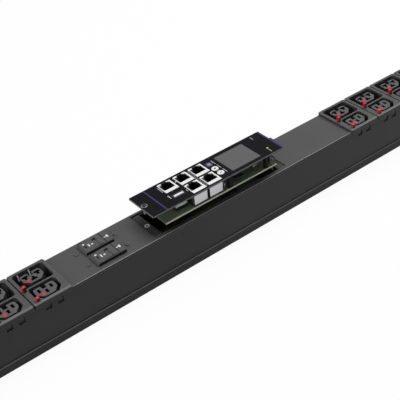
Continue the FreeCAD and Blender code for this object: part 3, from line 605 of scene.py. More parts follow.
class POWERSTRIP_OT_stage(bpy.types.Operator):
    """Adds the floor, the light and the camera."""

    bl_idname = "power_strip.stage"
    bl_label = "Stage"

    def execute(self, context):
        settings = context.scene.power_strip.stage
        context.scene.view_settings.view_transform = "Standard"
        set_world(settings.ambient)
        bpy.ops.mesh.primitive_plane_add(size=settings.floor_size)
        floor = bpy.context.object
        floor.name = floor.data.name = "floor"
        floor.data.materials.append(floor_material())
        for name, place, target, size in LIGHTS:
            soft_light(f"{name}_light", place, target, size, getattr(settings, name))
        camera = bpy.data.objects.new("camera", bpy.data.cameras.new("camera"))
        context.collection.objects.link(camera)
        camera.data.lens = settings.lens
        camera.data.sensor_width = SENSOR_WIDTH
        camera.data.clip_start = CAMERA_START
        camera.data.shift_x, camera.data.shift_y = CAMERA_SHIFT
        upward = CAMERA_RIGHT.cross(CAMERA_FORWARD)
        turn = Matrix((CAMERA_RIGHT, upward, -CAMERA_FORWARD)).transposed().to_4x4()
        camera.matrix_world = Matrix.Translation(CAMERA_PLACE) @ turn
        context.scene.camera = camera
        return {"FINISHED"}


# Housing
BEND_Z = 57.9
TOP_Z = 60.4
FLANGE_Z = 10.2
SHELF_Z = 57.5
# painted shade in the joint over the base, on the cover's inner faces and on the base's lower edge
JOINT_PAINTED_SHADE = grey(0.012)
ALONG_BAY = dict(x=(-92.0, 80.0), fade=(26.0, 0.001, 0.001))
# painted highlight along each bend, with a painted shade line and a lighter painted line below it
BEND_PAINTED_LIGHT = [
    field(shade, (-196.5, 196.5), side, heights)
    for side in ((None, -27.1), (27.1, None))
    for shade, heights in (
        (grey(0.36), (60.2, 61.2)), (grey(0.014), (59.0, 60.2)), (grey(0.100, 0.002), (BEND_Z, 59.0)))
]
BAY_PAINTED_SHADE = [
    # painted shade in the crease at the shelf's end, in the slot in the shelf and on the strip under the front plate
    field(grey(0.030, 0.001), (-91.2, -86.6), (-25.0, 25.0), (55.0, None), (2.2, 2.2, 2.2)),
    field(grey(0.004), (-90.4, -72.0), (21.7, 24.0), (55.0, None), (0.3, 0.3, 0.3)),
    field(grey(0.004), y=(None, 20.0), z=(58.2, None), **ALONG_BAY),
]
COVER_PAINTED_LIGHT = [
    # painted shade on the sides, in the joint over the base, on the inner faces and on the far edge
    field(grey(0.048, 0.001), z=(None, BEND_Z)),
    field(JOINT_PAINTED_SHADE, z=(10.5, 12.0)),
    field(JOINT_PAINTED_SHADE, y=(-27.85, 27.85), z=(None, BEND_Z)),
    field(grey(0.026, 0.001), y=(26.9, None), z=(TOP_Z, None)),
    *BAY_PAINTED_SHADE,
    # painted shadow beside the right bank, painted highlights and a painted shade line on the bends, the near bend's
    # dimmer painted highlight along the bay
    field(grey(0.028, 0.001), (192.4, 197.0), z=(TOP_Z, None), fade=(1.4, 0.001, 0.001)),
    *BEND_PAINTED_LIGHT,
    field(grey(0.13, 0.002), y=(None, -27.1), z=(60.2, 61.2), **ALONG_BAY),
]
BASE_PAINTED_LIGHT = [
    # painted highlight on the rims of the flanges, painted shade on their sides and on the lower edge
    field(grey(0.17, 0.002), z=(FLANGE_Z, None)),
    field(grey(0.045, 0.002), z=(0.0, FLANGE_Z)),
    field(JOINT_PAINTED_SHADE, z=(None, 1.2)),
]
RIVET_PLACES = ((-57.0, 50.0), (67.2, 51.7))
SEAL_RADIUS = 6.4
SEAL_DEPTH = 4.2
WALL_SCREW_START = (60.0, -2.6, 46.8)
WALL_SCREW_RINGS = ((2.0, -0.2), (2.0, 0.4), (1.7, 0.8), (1.0, 1.0), (0.7, 1.0), (0.6, 0.5))


def add_rivets(radius):
    """Flush rivets in both sides, level with the bay tray."""
    dark = Finish("rivet_dark", grey(0.014, 0.001), 0.5, specular=0.1, grain=2600, edge=0.1)
    rings = [(radius, -0.3), (radius, 0.10), (0.7 * radius, 0.16), (0.6 * radius, -0.2)]
    rivets = []
    for x, z in RIVET_PLACES:
        for side, y in ((-1, COVER_LOW.y), (1, COVER_HIGH.y)):
            rivets.append(laid(turned_piece(ORIGIN, rings, 24), (x, y, z), Vector((0, side, 0))))
    mount(joined(rivets), "side_rivets", "chassis", dark)


def add_seal(finish):
    """Soft ring inside the gland's mouth."""
    low, high = box_of("gland_nut")
    outer, inner = SEAL_RADIUS, 0.80 * SEAL_RADIUS
    seal = turned_piece(ORIGIN, [(outer, 0.0), (outer, 3.0), (0.86 * outer, 3.6), (inner, 3.0), (inner, 0.4)], 40)
    laid(seal, (low.x + SEAL_DEPTH, 0, (low.z + high.z) / 2), Vector((-1, 0, 0)))
    mount(seal, "gland_seal", "chassis", finish)


def add_wall_screw():
    """Round head on the end wall of the controller's tray."""
    bright = Finish("tray_screw", (0.90, 0.90, 0.86), 0.4, specular=0.4, grain=2600, edge=0.2)
    screw = turned_piece(ORIGIN, WALL_SCREW_RINGS, 28)
    laid(screw, *surface_at("bay_tray", WALL_SCREW_START, Vector((1, 0, 0))))
    mount(screw, "tray_screw", "chassis", bright)


class POWERSTRIP_OT_housing(bpy.types.Operator):
    """Paints the cover, base, tray and end caps, and adds the side rivets, a tray screw and the gland's seal."""

    bl_idname = "power_strip.housing"
    bl_label = "Housing"

    def execute(self, context):
        settings = context.scene.power_strip.housing
        coat = dict(grain=1500, depth=0.035, radius=0.5)
        dress(Finish("powder_coat", settings.paint, 0.52, specular=0.2, fields=COVER_PAINTED_LIGHT, **coat), "cover_shell")
        dress(Finish("base_coat", settings.paint, 0.55, specular=0.15, fields=BASE_PAINTED_LIGHT, **coat), "base_channel")
        # painted shade inside the bay below the shelf, over the cover's paint
        tray = Finish("tray_coat", settings.paint, 0.6, specular=0.15, grain=1500, depth=0.03,
                      fields=[field(settings.tray_paint, z=(None, SHELF_Z)), *BAY_PAINTED_SHADE])
        dress(tray, "bay_tray")
        dress(Finish("cap_plastic", settings.cap, 0.5, grain=2200), "end_cap_left", "end_cap_right")
        gland = Finish("gland_plastic", settings.gland, 0.42, specular=0.4, grain=2600)
        dress(gland, "gland_body", "gland_nut")
        add_rivets(settings.rivet_radius / MM)
        add_seal(gland)
        add_wall_screw()
        return {"FINISHED"}


# Outlets
SEAMS = (-329.65, -285.2, -240.75, 240.75, 285.2, 329.65)
SEAM_HALF = 0.75
FRAME_TOP = CORE_TOP + 0.6
MOAT_TOP = CORE_TOP - 0.35
INSIDE_FRAME = (-25.9, 25.9)
BLOCK_PAINTED_LIGHT = [
    # painted light on the core tops, painted shade in the moats and on the near face, a painted highlight on the near
    # upper edge, painted shade in the seams between blocks
    field(grey(0.092, 0.002), y=INSIDE_FRAME, z=(MOAT_TOP, CORE_TOP + 0.3)),
    field(grey(0.060, 0.001), y=INSIDE_FRAME, z=(None, MOAT_TOP)),
    field(grey(0.048, 0.001), y=(None, -26.5), z=(None, FRAME_TOP)),
    field(grey(0.150, 0.002), y=(None, -26.2), z=(FRAME_TOP, None)),
    *[field(grey(0.010), (seam - SEAM_HALF, seam + SEAM_HALF)) for seam in SEAMS],
]
SLOT_PAINTED_SHADE = grey(0.003)
# painted shade on the latches' near faces
LATCH_NEAR_PAINTED_SHADE = (0.11, 0.005, 0.009)
LATCH_KINDS = ("small", "wide")
LINK_HALF = (1.5, 1.0)
SPRING_SHIFTS = (-11.5, 1.7)
SPRING_SIZE = (1.2, 0.35, 0.6)
SPRING_Y = 25.3
SPRING_LEAN = 2.2
SPRING_DROP = 1.8


def latch_master(settings, kind):
    """One latch: a square post and a low domed tongue on their link."""
    low, high = box_of(f"lock_latch_{kind}_1")
    width = settings.post / MM
    post = box_piece(low, (low.x + width, low.y + width, high.z))
    soften(post, 0.15, 2, lambda edge: upright(edge) or above(edge, high.z - 1))
    press_in(post, 0.5, 0.12, looks_up)
    radius = settings.tongue_radius / MM
    flats = settings.tongue_flats / MM / 2
    foot = Vector((high.x - flats / math.cos(math.pi / 6), high.y - flats, low.z))
    top = CORE_TOP + settings.tongue_rise / MM - low.z
    tongue = turned_piece(foot, [(0.9 * radius, 0.0), (radius, 0.3), (radius, top - 0.7), (0.95 * radius, top - 0.35),
                                 (0.78 * radius, top - 0.1), (0.4 * radius, top)], 28)
    start = low + Vector((width / 2, width / 2, 0))
    run = foot - start
    reach = Vector((run.xy.length / 2, *LINK_HALF))
    middle = (start + foot) / 2 + UP * reach.z
    link = box_piece(middle - reach, middle + reach, math.atan2(run.y, run.x))
    soften(link, 0.2, 1)
    return joined([post, tongue, link])


def add_latches(settings, kind, finish):
    master = latch_master(settings, kind)
    first = box_of(f"lock_latch_{kind}_1")[0]
    for number in range(1, BLOCK_COUNT + 1):
        node = f"lock_latch_{kind}_{number}"
        latch = copied(master, box_of(node)[0] - first)
        mount(latch, f"latch_{kind}_{number}", node, finish)
        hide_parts(node)
    bpy.data.objects.remove(master)


def add_springs(height, finish):
    """Bent spring strips on the far wall of the left bank's wide outlets."""
    for number in LEFT_BANK:
        low, high = box_of(f"outlet_block_{number}")
        middle = (low.x + high.x) / 2
        strips = []
        for shift in SPRING_SHIFTS:
            foot = Vector((middle + shift, SPRING_Y - SPRING_LEAN, high.z - SPRING_DROP - height))
            strips.append(bent_strip(foot, SPRING_SIZE, (0, SPRING_LEAN, height - 1.0), (0, -0.1, 0.4)))
        mount(joined(strips), f"outlet_springs_{number}", "chassis", finish)


class POWERSTRIP_OT_outlets(bpy.types.Operator):
    """Finishes the outlet blocks and busbars, and makes the lock latches and the spring strips."""

    bl_idname = "power_strip.outlets"
    bl_label = "Outlets"

    def execute(self, context):
        settings = context.scene.power_strip.outlets
        moulding = Finish("outlet_plastic", settings.moulding, 0.5, specular=0.2, grain=2400, edge=0.6,
                          radius=0.35, fields=BLOCK_PAINTED_LIGHT)
        # painted shade in and round the contact slots
        moulding.lay_over(group_in(moulding.tree, "Slot Rims")["Rim"], SLOT_PAINTED_SHADE)
        dress(moulding, *nodes_named("outlet_block"))
        copper = Finish("copper_bar", settings.copper, 0.35, metallic=1.0, grain=700)
        dress(copper, *nodes_named("line_busbar", "neutral_busbar", "earth_busbar"))
        near = [box_of(f"lock_latch_{kind}_1")[0].y for kind in LATCH_KINDS]
        red = Finish("latch_plastic", settings.latch, 0.4, specular=0.25, grain=3000, depth=0.01, edge=0.12,
                     fields=[field(LATCH_NEAR_PAINTED_SHADE, y=(low - 0.1, low + 0.2)) for low in near])
        for kind in LATCH_KINDS:
            add_latches(settings, kind, red)
        # bright steel springs, made near-white and non-metallic as a painted glint
        steel = Finish("spring_steel", grey(0.90, 0.01), 0.4, specular=0.5, grain=1800)
        add_springs(settings.spring_height / MM, steel)
        return {"FINISHED"}


# Breakers
# painted shade on the flanks and across the rocker's bend, painted light on the case's left end
FLANK_PAINTED_SHADE = grey(0.008)
CASE_END_PAINTED_LIGHT = grey(0.12, 0.002)
ROCKER_BEND_PAINTED_SHADE = grey(0.045, 0.002)
ROCKER_DOT = (4.4, 4.5)
DOT_RINGS = ((1.2, -0.05), (1.2, 0.04), (0.96, 0.06))
# Bars from an end of the rocker, from its middle, length across and width along
ROCKER_BARS = ((8.3, -0.6, 4.6, 1.5), (11.9, -1.3, 1.8, 2.2))
NOTCH_BARS = ((16.9, 3.8, 2.8, 4.5), (4.2, -0.5, 5.4, 1.5))
CASE_BARS = ((5.2, -0.6, 4.0, 1.9), (2.6, -0.8, 1.0, 3.6))
PAN_RADIUS = 2.6
SHANK_RADIUS = 1.2
CROSS_HALF = Vector((0.36, 1.5, 0.7))
CROSS_TURN = 0.4
PRINT_CORNER = 0.15
CASE_PRINT_RISE = 0.05
RAY_RISE = 10.0
SKIN_OUT, SKIN_IN = 0.1, 0.3


def flanks(nodes, top=None):
    """Painted shade on the near and far flanks of nodes, up to a height."""
    shades = []
    for node in nodes:
        low, high = box_of(node)
        for span in ((low.y - SKIN_OUT, low.y + SKIN_IN), (high.y - SKIN_IN, high.y + SKIN_OUT)):
            shades.append(field(FLANK_PAINTED_SHADE, y=span, z=(None, top)))
    return shades


def on_top(piece, node, x, y):
    """Lays a flat piece on a node at a plan position."""
    return laid(piece, *surface_at(node, (x, y, box_of(node)[1].z + RAY_RISE), -UP))


def bars_on(node, x, y, rows):
    """Thin printed bars on a node, placed from a plan position."""
    return [on_top(plain_bar(ORIGIN, width, length, CASE_PRINT_RISE, PRINT_CORNER), node, x + along, y + across)
            for along, across, length, width in rows]


def add_marks(number, light, dark):
    """Off and on marks and a lamp dot on the rocker, the lock notch, and marks on the case."""
    rocker, case = f"breaker_rocker_{number}", f"breaker_body_{number}"
    low, high = box_of(case)
    middle = (low.y + high.y) / 2
    left, right = (corner.x for corner in box_of(rocker))
    dot = on_top(turned_piece(ORIGIN, DOT_RINGS, 20), rocker, left + ROCKER_DOT[0], middle + ROCKER_DOT[1])
    marks = joined([dot, *bars_on(rocker, left, middle, ROCKER_BARS)])
    mount(marks, f"rocker_marks_{number}", rocker, light)
    notch = joined(bars_on(rocker, left, middle, NOTCH_BARS))
    mount(notch, f"rocker_notch_{number}", rocker, dark)
    on_case = joined(bars_on(case, right, middle, CASE_BARS))
    mount(on_case, f"case_marks_{number}", "chassis", light)


def add_screws(finish):
    """Pan heads with a cross recess."""
    low, high = box_of("breaker_screws")
    radius, seat = PAN_RADIUS, COVER_HIGH.z
    foot = Vector((low.x + radius, low.y + radius, seat))
    rise = high.z - seat
    screw = turned_piece(foot, [(SHANK_RADIUS, low.z - seat), (SHANK_RADIUS, 0.0), (radius, 0.0), (radius, 0.35 * rise),
                                (0.93 * radius, 0.68 * rise), (0.75 * radius, 0.9 * rise), (0.5 * radius, rise)], 32)
    centre = foot + UP * rise
    for turn in (CROSS_TURN, CROSS_TURN + math.pi / 2):
        slot = box_piece(centre - CROSS_HALF, centre + CROSS_HALF, turn)
        modify(screw, "BOOLEAN", operation="DIFFERENCE", object=slot)
        bpy.data.objects.remove(slot)
    along, across = high.x - low.x - 2 * radius, high.y - low.y - 2 * radius
    shifts = ((along, 0, 0), (0, across, 0), (along, across, 0))
    screws = joined([screw, *[copied(screw, shift) for shift in shifts]])
    mount(screws, "pan_head_screws", "chassis", finish)
    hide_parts("breaker_screws")


class POWERSTRIP_OT_breakers(bpy.types.Operator):
    """Finishes the breakers and adds their marks, notches and fixing screws."""

    bl_idname = "power_strip.breakers"
    bl_label = "Breakers"

    def execute(self, context):
        settings = context.scene.power_strip.breakers
        cases, rockers = nodes_named("breaker_body"), nodes_named("breaker_rocker")
        top = box_of(cases[0])[1].z
        low, high = box_of(rockers[0])
        # painted light on the case's left end face
        end = field(CASE_END_PAINTED_LIGHT, x=(None, low.x - 0.7), z=(None, top - 0.2))
        case = Finish("breaker_plastic", settings.case, 0.48, specular=0.2, grain=2400,
                      fields=[*flanks(cases, top - 0.3), end])
        dress(case, *cases)
        # painted shade across the rocker's bend and at its tip
        bend = field(ROCKER_BEND_PAINTED_SHADE, x=(high.x - 9.0, high.x - 6.6))
        tip = field(FLANK_PAINTED_SHADE, x=(high.x - 0.5, high.x + 0.1))
        rocker = Finish("rocker_plastic", settings.rocker, 0.45, specular=0.2, grain=2600,
                        fields=[*flanks(rockers), bend, tip])
        dress(rocker, *rockers)
        mark = Finish("breaker_print", settings.mark, 0.6, specular=0.2, grain=3000, depth=0.004, edge=0.0)
        dark = Finish("breaker_notch", grey(0.004), 0.7, specular=0.1, grain=3000, edge=0.0)
        for number in (1, 2):
            add_marks(number, mark, dark)
        add_screws(Finish("dark_screw", settings.screw, 0.4, specular=0.4, grain=2600))
        return {"FINISHED"}


# Controller front
STRIPE_X = (18.2, 19.8)
END_BAND = 4.2
# painted highlight along the plate's near and left edges, this wide
FASCIA_HIGHLIGHT_WIDTH = 0.3
FASCIA_EDGE_PAINTED_HIGHLIGHT = grey(0.22, 0.005)
LABEL_CORNER = 0.18
LABEL_BARS = (
    # from the left edge, from the middle, length, width
    (33.3, 10.5, 10.5, 0.9), (33.3, -6.5, 6.5, 1.5), (54.3, -10.0, 4.0, 0.9), (55.0, 11.0, 1.8, 2.4),
    (74.2, -0.5, 37.0, 0.5), (76.0, -0.5, 37.0, 0.5),
    (107.3, 11.0, 8.0, 0.9), (107.3, 0.5, 8.0, 0.9), (107.3, -10.0, 8.5, 0.9),
    (168.5, 16.5, 6.0, 0.9), (168.0, -16.2, 5.5, 0.9),
)
PRINT = dict(specular=0.2, grain=3000, depth=0.003, edge=0.0)
PRINT_RISE = 0.04
MARK_CORNER = 0.12
MENU_BARS = ((-1.3, 0, 0.7, 3.4), (0.0, 0, 0.7, 3.4), (1.3, 0, 0.7, 3.4))
TICK_BARS = ((0.4, 0.1, 3.2, 0.8, math.radians(50)), (-1.0, -0.6, 1.5, 0.8, math.radians(-40)))
DISC_RINGS = ((1.35, -PRINT_RISE), (1.35, PRINT_RISE), (1.1, 0.05))
BUTTON_STEM = 1.8
BUTTON_DISH = 0.14
BUTTON_FLANGE = 1.0
BUTTON_GAP = 0.3
LENS_RINGS = ((1.15, -0.05), (1.15, 0.1), (0.95, 0.3), (0.6, 0.42), (0.25, 0.46))
LIT_GLOW = (0.55, 0.72, 0.08, 1.0)
THREAD_ROOT, THREAD_CREST, THREAD_PITCH = 1.22, 1.5, 0.5
THREAD_START, THREAD_END = 0.4, 0.6
SHANK_NECK = 1.4
BOSS_SHARE = 0.665
SOCKET_PAINTED_SHADE = grey(0.008)


def add_labels(finish):
    """Short plain bars where the plate is labelled."""
    bars = [plain_bar(Vector((FASCIA_LOW.x + x, y, FASCIA_HIGH.z)), width, length, PRINT_RISE, LABEL_CORNER)
            for x, y, length, width in LABEL_BARS]
    mount(joined(bars), "label_bars", "controller", finish)


def bar_mark(face, rows):
    """Bars from the middle of a button's face."""
    return joined([plain_bar(face + Vector((x, y, 0)), length, width, PRINT_RISE, MARK_CORNER, *turn)
                   for x, y, length, width, *turn in rows])


def add_buttons(radius):
    """Round dished caps with a flange and a stem, marked with three bars, a disc and a tick."""
    violet = Finish("button_violet", (0.058, 0.043, 0.16), 0.45, grain=3000, depth=0.008)
    white = Finish("button_white", grey(0.86, 0.01), 0.45, grain=3000, depth=0.008, edge=0.0)
    pale = Finish("mark_pale", (0.55, 0.53, 0.68), 0.6, **PRINT)
    dark = Finish("mark_dark", grey(0.05, 0.005), 0.6, **PRINT)
    kinds = (
        ("button_violet", violet, pale, lambda face: bar_mark(face, MENU_BARS)),
        ("button_white", white, dark, lambda face: turned_piece(face, DISC_RINGS, 24)),
        ("button_white", white, dark, lambda face: bar_mark(face, TICK_BARS)),
    )
    for number, (node, (slot, plastic, ink, mark)) in enumerate(zip(BUTTONS, kinds), 1):
        low, high = box_of(node)
        foot = Vector((*((low + high) / 2).xy, low.z))
        top = high.z - low.z
        flange = (high.x - low.x) / 2
        under = FASCIA_LOW.z - low.z - BUTTON_GAP
        rings = [(BUTTON_STEM, 0.0), (BUTTON_STEM, under - BUTTON_FLANGE), (flange, under - BUTTON_FLANGE),
                 (flange, under), (radius, under), (radius, top - 0.35), (0.97 * radius, top - 0.12),
                 (0.91 * radius, top), (0.82 * radius, top), (0.74 * radius, top - BUTTON_DISH)]
        cap = turned_piece(foot, rings, 48)
        mount(cap, f"button_cap_{number}", node, plastic)
        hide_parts(node)
        mount(mark(foot + UP * (top - BUTTON_DISH)), f"button_mark_{number}", node, ink)


def add_lamps(glow):
    """Domed lenses over the light pipes, the near one lit."""
    low, high = box_of("status_lamps")
    half = (high.x - low.x) / 2
    lit = Finish("lamp_lit", (0.62, 0.72, 0.10), 0.3, specular=0.4, grain=3000, depth=0.004, edge=0.0)
    lit.inputs["Emission Color"].default_value = LIT_GLOW
    lit.inputs["Emission Strength"].default_value = glow
    off = Finish("lamp_off", grey(0.004), 0.5, specular=0.05, grain=3000, depth=0.004, edge=0.0)
    dress(off, "status_lamps")
    for name, y, finish in (("lamp_lens_lit", low.y + half, lit), ("lamp_lens_off", high.y - half, off)):
        lens = turned_piece((low.x + half, y, high.z), LENS_RINGS, 28)
        mount(lens, name, "controller", finish)


def add_captive_screw():
    """Plated head with a deep socket, and a threaded shank."""
    low, high = box_of("captive_screw")
    foot = Vector((*((low + high) / 2).xy, low.z))
    radius = (high.x - low.x) / 2
    head = FASCIA_HIGH.z - low.z + 0.1
    top = high.z - low.z
    rings = [(0.9, 0.0)]
    height = THREAD_START
    for _ in range(round((FASCIA_LOW.z - low.z - THREAD_END - THREAD_START) / THREAD_PITCH) + 1):
        rings.extend([(THREAD_ROOT, height), (THREAD_CREST, height + THREAD_PITCH / 2)])
        height += THREAD_PITCH
    rings.extend([(SHANK_NECK, height), (SHANK_NECK, head), (0.94 * radius, head), (radius, head + 0.25),
                  (radius, head + 0.4), (0.92 * radius, head + 0.6), (0.66 * radius, head + 0.6),
                  (0.62 * radius, top - 0.3), (0.52 * radius, top), (0.30 * radius, top), (0.28 * radius, top - 1.0)])
    screw = turned_piece(foot, rings, 36)
    reach = BOSS_SHARE * radius
    # painted shade in the head's socket
    socket_shade = field(SOCKET_PAINTED_SHADE, (foot.x - reach, foot.x + reach), (foot.y - reach, foot.y + reach), (foot.z + head, None))
    plated = Finish("captive_steel", grey(0.20, 0.005), 0.4, specular=0.4, grain=2200, edge=0.2, fields=[socket_shade])
    mount(screw, "captive_screw_head", "captive_screw", plated)
    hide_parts("captive_screw")


class POWERSTRIP_OT_front(bpy.types.Operator):
    """Finishes the front plate, display, buttons, lamps and captive screw."""

    bl_idname = "power_strip.front"
    bl_label = "Controller Front"

    def execute(self, context):
        settings = context.scene.power_strip.controller
        left, right = FASCIA_LOW.x, FASCIA_HIGH.x
        fields = [
            field(settings.band, x=(left + STRIPE_X[0], left + STRIPE_X[1])),
            field(settings.band, x=(right - END_BAND, None)),
            # painted highlight on the plate's near and left edges
            field(FASCIA_EDGE_PAINTED_HIGHLIGHT, y=(None, FASCIA_LOW.y + FASCIA_HIGHLIGHT_WIDTH)),
            field(FASCIA_EDGE_PAINTED_HIGHLIGHT, x=(None, left + FASCIA_HIGHLIGHT_WIDTH)),
        ]
        overlay = Finish("front_overlay", settings.overlay, 0.5, specular=0.03, grain=2600, depth=0.008, edge=0.2,
                         radius=0.2, fields=fields)
        dress(overlay, "fascia_panel")
        glass = Finish("display_glass", settings.display, 0.42, specular=0.15, grain=4000, depth=0.002, mottle=0.02)
        dress(glass, "display_window")
        add_labels(Finish("label_print", settings.print_light, 0.6, **PRINT))
        add_buttons(settings.button_radius / MM)
        add_lamps(settings.lamp_glow)
        add_captive_screw()
        dress(Finish("insert_steel", settings.steel, 0.3, metallic=1.0, grain=2200), "bay_insert")
        return {"FINISHED"}


# Controller ports
# black of the small port's body, and painted shade over the jacks' openings and feet
JACK_BLACK_AND_PAINTED_SHADE = grey(0.010, 0.001)
JACK_INSIDE_PAINTED_SHADE = grey(0.060)
JACK_FOOT = 70.2
JACK_OPENINGS = (
    # margins on the left, right, near and far sides of each opening, painted dark as shade in the socket
    (1.0, 1.9, 5.0, 2.4), (4.4, 3.6, 5.0, 1.2), (5.4, 5.4, 5.0, -0.1),
)
# painted shadow of the front plate on the cans' tops, and painted shade at their feet
CAN_PAINTED_SHADOWS = [field(grey(0.03), z=(82.2, None)), field(grey(0.01), z=(None, 70.6))]
CAN_WALL = 0.12
CAN_SHEET = 0.1
CAN_FOOT, CAN_GAP = 1.3, 0.15
CAN_SPRING = (2.4, -0.12)
WIRE_COUNT = 8
WIRE_NEAR, WIRE_DEPTH = 5.0, 11.0
WIRE_PITCH = 1.02
WIRE_SIZE = (0.36, 0.4, 7.0)
WIRE_BENDS = ((0, 1.6, 0.5), (0, 2.4, -1.6))
PORT_TONGUE = (6.25, 1.45)
PORT_WALL = 0.3
PORT_SHELL_RISE = 4.1


def can_master():
    """Folded can round a jack, with a raised spring on each side."""
    low, high = box_of(JACKS[0])
    can = box_piece((low.x - CAN_WALL, low.y - CAN_WALL, low.z + CAN_FOOT),
                    (high.x + CAN_WALL, high.y + CAN_WALL, FASCIA_LOW.z - CAN_GAP))
    soften(can, 0.3, 2, upright)
    press_in(can, *CAN_SPRING, lambda face: abs(face.normal.y) > 0.99)
    with editing(can):
        pick(can, "FACE", lambda face: abs(face.normal.z) > FLAT)
        bpy.ops.mesh.delete(type="FACE")
    modify(can, "SOLIDIFY", thickness=CAN_SHEET * MM)
    return can


def wire_master():
    """Eight bent contact wires in a jack's socket."""
    low, high = box_of(JACKS[0])
    first = (low.x + high.x) / 2 - (WIRE_COUNT - 1) / 2 * WIRE_PITCH - WIRE_SIZE[0] / 2
    wire = bent_strip(Vector((first, low.y + WIRE_NEAR, high.z - WIRE_DEPTH)), WIRE_SIZE, *WIRE_BENDS)
    row_of(wire, WIRE_COUNT, WIRE_PITCH)
    return wire


def finish_port():
    """Black body with a white tongue and a bright shell over its upper half."""
    low, high = box_of("usb_port")
    middle = (low + high) / 2
    x, y = PORT_TONGUE
    shell = field((0.86, 0.87, 0.83), z=(low.z + PORT_SHELL_RISE, FASCIA_LOW.z))
    inside = field(grey(0.006), (low.x + PORT_WALL, high.x - PORT_WALL), (low.y + PORT_WALL, high.y - PORT_WALL),
                   (low.z - 1, high.z + 1))
    white = field(grey(0.84, 0.01), (middle.x - x, middle.x + x), (middle.y - y, middle.y + y))
    port = Finish("small_port", JACK_BLACK_AND_PAINTED_SHADE, 0.35, specular=0.4, grain=2000, depth=0.005, edge=0.0,
                  fields=[shell, inside, white])
    port.tree.links.new(in_field(port.tree, shell), port.inputs["Metallic"])
    dress(port, "usb_port")


class POWERSTRIP_OT_ports(bpy.types.Operator):
    """Finishes the network jacks and the small port, and adds the jacks' cans and contacts."""

    bl_idname = "power_strip.ports"
    bl_label = "Controller Ports"

    def execute(self, context):
        settings = context.scene.power_strip.controller
        inner = []
        for node in JACKS:
            low, high = box_of(node)
            # painted shade inside each jack and over its openings
            inner.append(field(JACK_INSIDE_PAINTED_SHADE, (low.x + 0.2, high.x - 0.2), (low.y + 0.2, high.y - 0.2),
                               (low.z - 1, high.z - 0.5)))
            for left, right, near, far in JACK_OPENINGS:
                inner.append(field(JACK_BLACK_AND_PAINTED_SHADE, (low.x + left, high.x - right), (low.y + near, high.y - far)))
        inner.append(field(JACK_BLACK_AND_PAINTED_SHADE, z=(None, JACK_FOOT)))
        white = Finish("jack_plastic", settings.jack, 0.4, grain=2600, depth=0.01, edge=0.0, fields=inner)
        dress(white, *JACKS)
        steel = Finish("can_steel", settings.steel, 0.36, metallic=1.0, grain=1500, depth=0.01, fields=CAN_PAINTED_SHADOWS)
        gold = Finish("contact_gold", (0.83, 0.62, 0.25), 0.3, metallic=1.0, grain=2000)
        can, wires = can_master(), wire_master()
        first = box_of(JACKS[0])[0]
        for number, node in enumerate(JACKS, 1):
            shift = box_of(node)[0] - first
            mount(copied(can, shift), f"jack_can_{number}", "controller", steel)
            mount(copied(wires, shift), f"jack_contacts_{number}", "controller", gold)
        bpy.data.objects.remove(can)
        bpy.data.objects.remove(wires)
        finish_port()
        return {"FINISHED"}


# Controller board
BOARD_RIM = 0.45
TRACK_SCALE = 140.0
TRACK_SHARE = 0.5
TRACK_COLOUR = (0.18, 0.23, 0.14)
CHIPS = ((38.0, -6.0, 10.0), (40.0, 11.0, 8.0), (-60.0, 8.0, 9.0))
CHIP_FOOT, CHIP_TOP = 0.2, 1.7
LEAD_SIZE = Vector((0.35, 1.2, 0.5))
LEAD_PITCH = 0.8
LEAD_MARGIN = 0.6
MODULE_ROUND = 0.18
MODULES = (
    # place along and across, length, width, height
    (62.4, -8.0, 9.0, 5.0, 4.5), (14.5, -12.4, 2.4, 1.8, 4.0), (12.4, -15.3, 1.6, 1.4, 6.5),
    (50.0, -15.5, 2.0, 1.2, 0.9), (54.0, -15.5, 2.0, 1.2, 0.9),
    (28.0, -3.0, 2.0, 1.2, 0.9), (-66.0, 6.0, 2.0, 1.2, 0.9), (-66.0, 14.0, 5.0, 3.2, 2.4),
)


def finish_board(settings):
    """Solder mask with tracks on both faces, and a pale bare edge."""
    faces = field(settings.board, y=(BOARD_LOW.y + BOARD_RIM, BOARD_HIGH.y - BOARD_RIM))
    board = Finish("board_laminate", settings.board_edge, 0.45, grain=1500, depth=0.01, edge=0.0, fields=[faces])
    tree = board.tree
    track = group_in(tree, "Board Tracks", {"Scale": TRACK_SCALE})["Track"]
    inner = calc(tree, "MULTIPLY", track, in_field(tree, faces))
    board.lay_over(calc(tree, "MULTIPLY", inner, TRACK_SHARE), TRACK_COLOUR)
    dress(board, "controller_board")


def add_chips(black, tin):
    """Flat packages with a row of leads on two sides."""
    top = BOARD_HIGH.z
    bodies, leads = [], []
    for x, y, size in CHIPS:
        half = size / 2
        body = box_piece((x - half, y - half, top + CHIP_FOOT), (x + half, y + half, top + CHIP_TOP))
        soften(body, 0.25, 1, lambda edge: above(edge, top + 1))
        press_in(body, 0.8, 0.05, looks_up)
        bodies.append(body)
        for side in (-1, 1):
            corner = Vector((x - half + LEAD_MARGIN, y + side * (half + 0.5) - LEAD_SIZE.y / 2, top))
            lead = box_piece(corner, corner + LEAD_SIZE)
            soften(lead, 0.1, 1)
            row_of(lead, int((size - 2 * LEAD_MARGIN) / LEAD_PITCH), LEAD_PITCH)
            leads.append(lead)
    mount(joined(bodies), "board_chips", "controller", black)
    mount(joined(leads), "chip_leads", "controller", tin)


def add_modules(finish):
    """Low cans and small blocks beside the chips."""
    cans = []
    for x, y, length, width, height in MODULES:
        half = Vector((length / 2, width / 2, 0))
        foot = Vector((x, y, BOARD_HIGH.z))
        can = box_piece(foot - half, foot + half + UP * height)
        soften(can, MODULE_ROUND * min(width, height))
        cans.append(can)
    mount(joined(cans), "board_modules", "controller", finish)


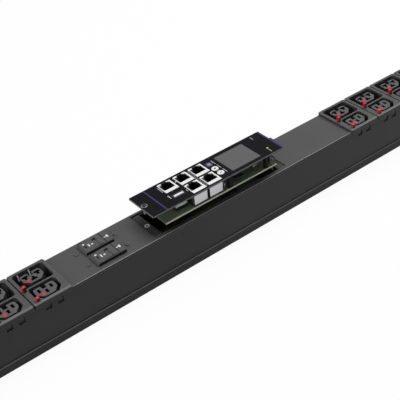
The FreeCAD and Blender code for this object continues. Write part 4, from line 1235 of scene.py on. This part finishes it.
class POWERSTRIP_OT_board(bpy.types.Operator):
    """Finishes the circuit board, its posts and plugs, and adds the parts soldered to it."""

    bl_idname = "power_strip.board"
    bl_label = "Controller Board"

    def execute(self, context):
        finish_board(context.scene.power_strip.controller)
        black = Finish("post_plastic", (0.012, 0.012, 0.010), 0.5, specular=0.08, grain=2400, edge=0.08)
        dress(black, "board_standoffs", "board_plugs", "bay_sockets")
        add_chips(black, Finish("solder_tin", grey(0.55, 0.01), 0.35, metallic=1.0, grain=2400))
        add_modules(Finish("module_can", grey(0.30, 0.01), 0.4, metallic=0.6, grain=1800))
        return {"FINISHED"}


class POWERSTRIP_PT_sidebar(bpy.types.Panel):
    """Lists the operators and settings of the power strip."""

    bl_idname = "POWERSTRIP_PT_sidebar"
    bl_label = "Power Strip"
    bl_space_type = "VIEW_3D"
    bl_region_type = "UI"
    bl_category = "Power Strip"

    def draw(self, context):
        for operator in OPERATORS:
            self.layout.operator(operator.bl_idname)
        for part in StripSettings.__annotations__:
            group = getattr(context.scene.power_strip, part)
            box = self.layout.box()
            box.label(text=part.title())
            for setting in type(group).__annotations__:
                box.prop(group, setting)


SETTINGS = (HousingSettings, OutletSettings, BreakerSettings, ControllerSettings, StageSettings, StripSettings)
OPERATORS = (POWERSTRIP_OT_stage, POWERSTRIP_OT_housing, POWERSTRIP_OT_outlets, POWERSTRIP_OT_breakers,
             POWERSTRIP_OT_front, POWERSTRIP_OT_ports, POWERSTRIP_OT_board)
CLASSES = SETTINGS + OPERATORS + (POWERSTRIP_PT_sidebar,)


def register():
    for cls in CLASSES:
        bpy.utils.register_class(cls)
    bpy.types.Scene.power_strip = PointerProperty(type=StripSettings)


def unregister():
    del bpy.types.Scene.power_strip
    for cls in reversed(CLASSES):
        bpy.utils.unregister_class(cls)


def main():
    register()
    for build in (grain_group, edge_group, region_group, trace_group, slot_group):
        tree = build()
        GROUPS[tree.name] = tree
    bpy.ops.power_strip.stage()
    bpy.ops.power_strip.housing()
    bpy.ops.power_strip.outlets()
    bpy.ops.power_strip.breakers()
    bpy.ops.power_strip.front()
    bpy.ops.power_strip.ports()
    bpy.ops.power_strip.board()


if __name__ == "__main__":
    main()
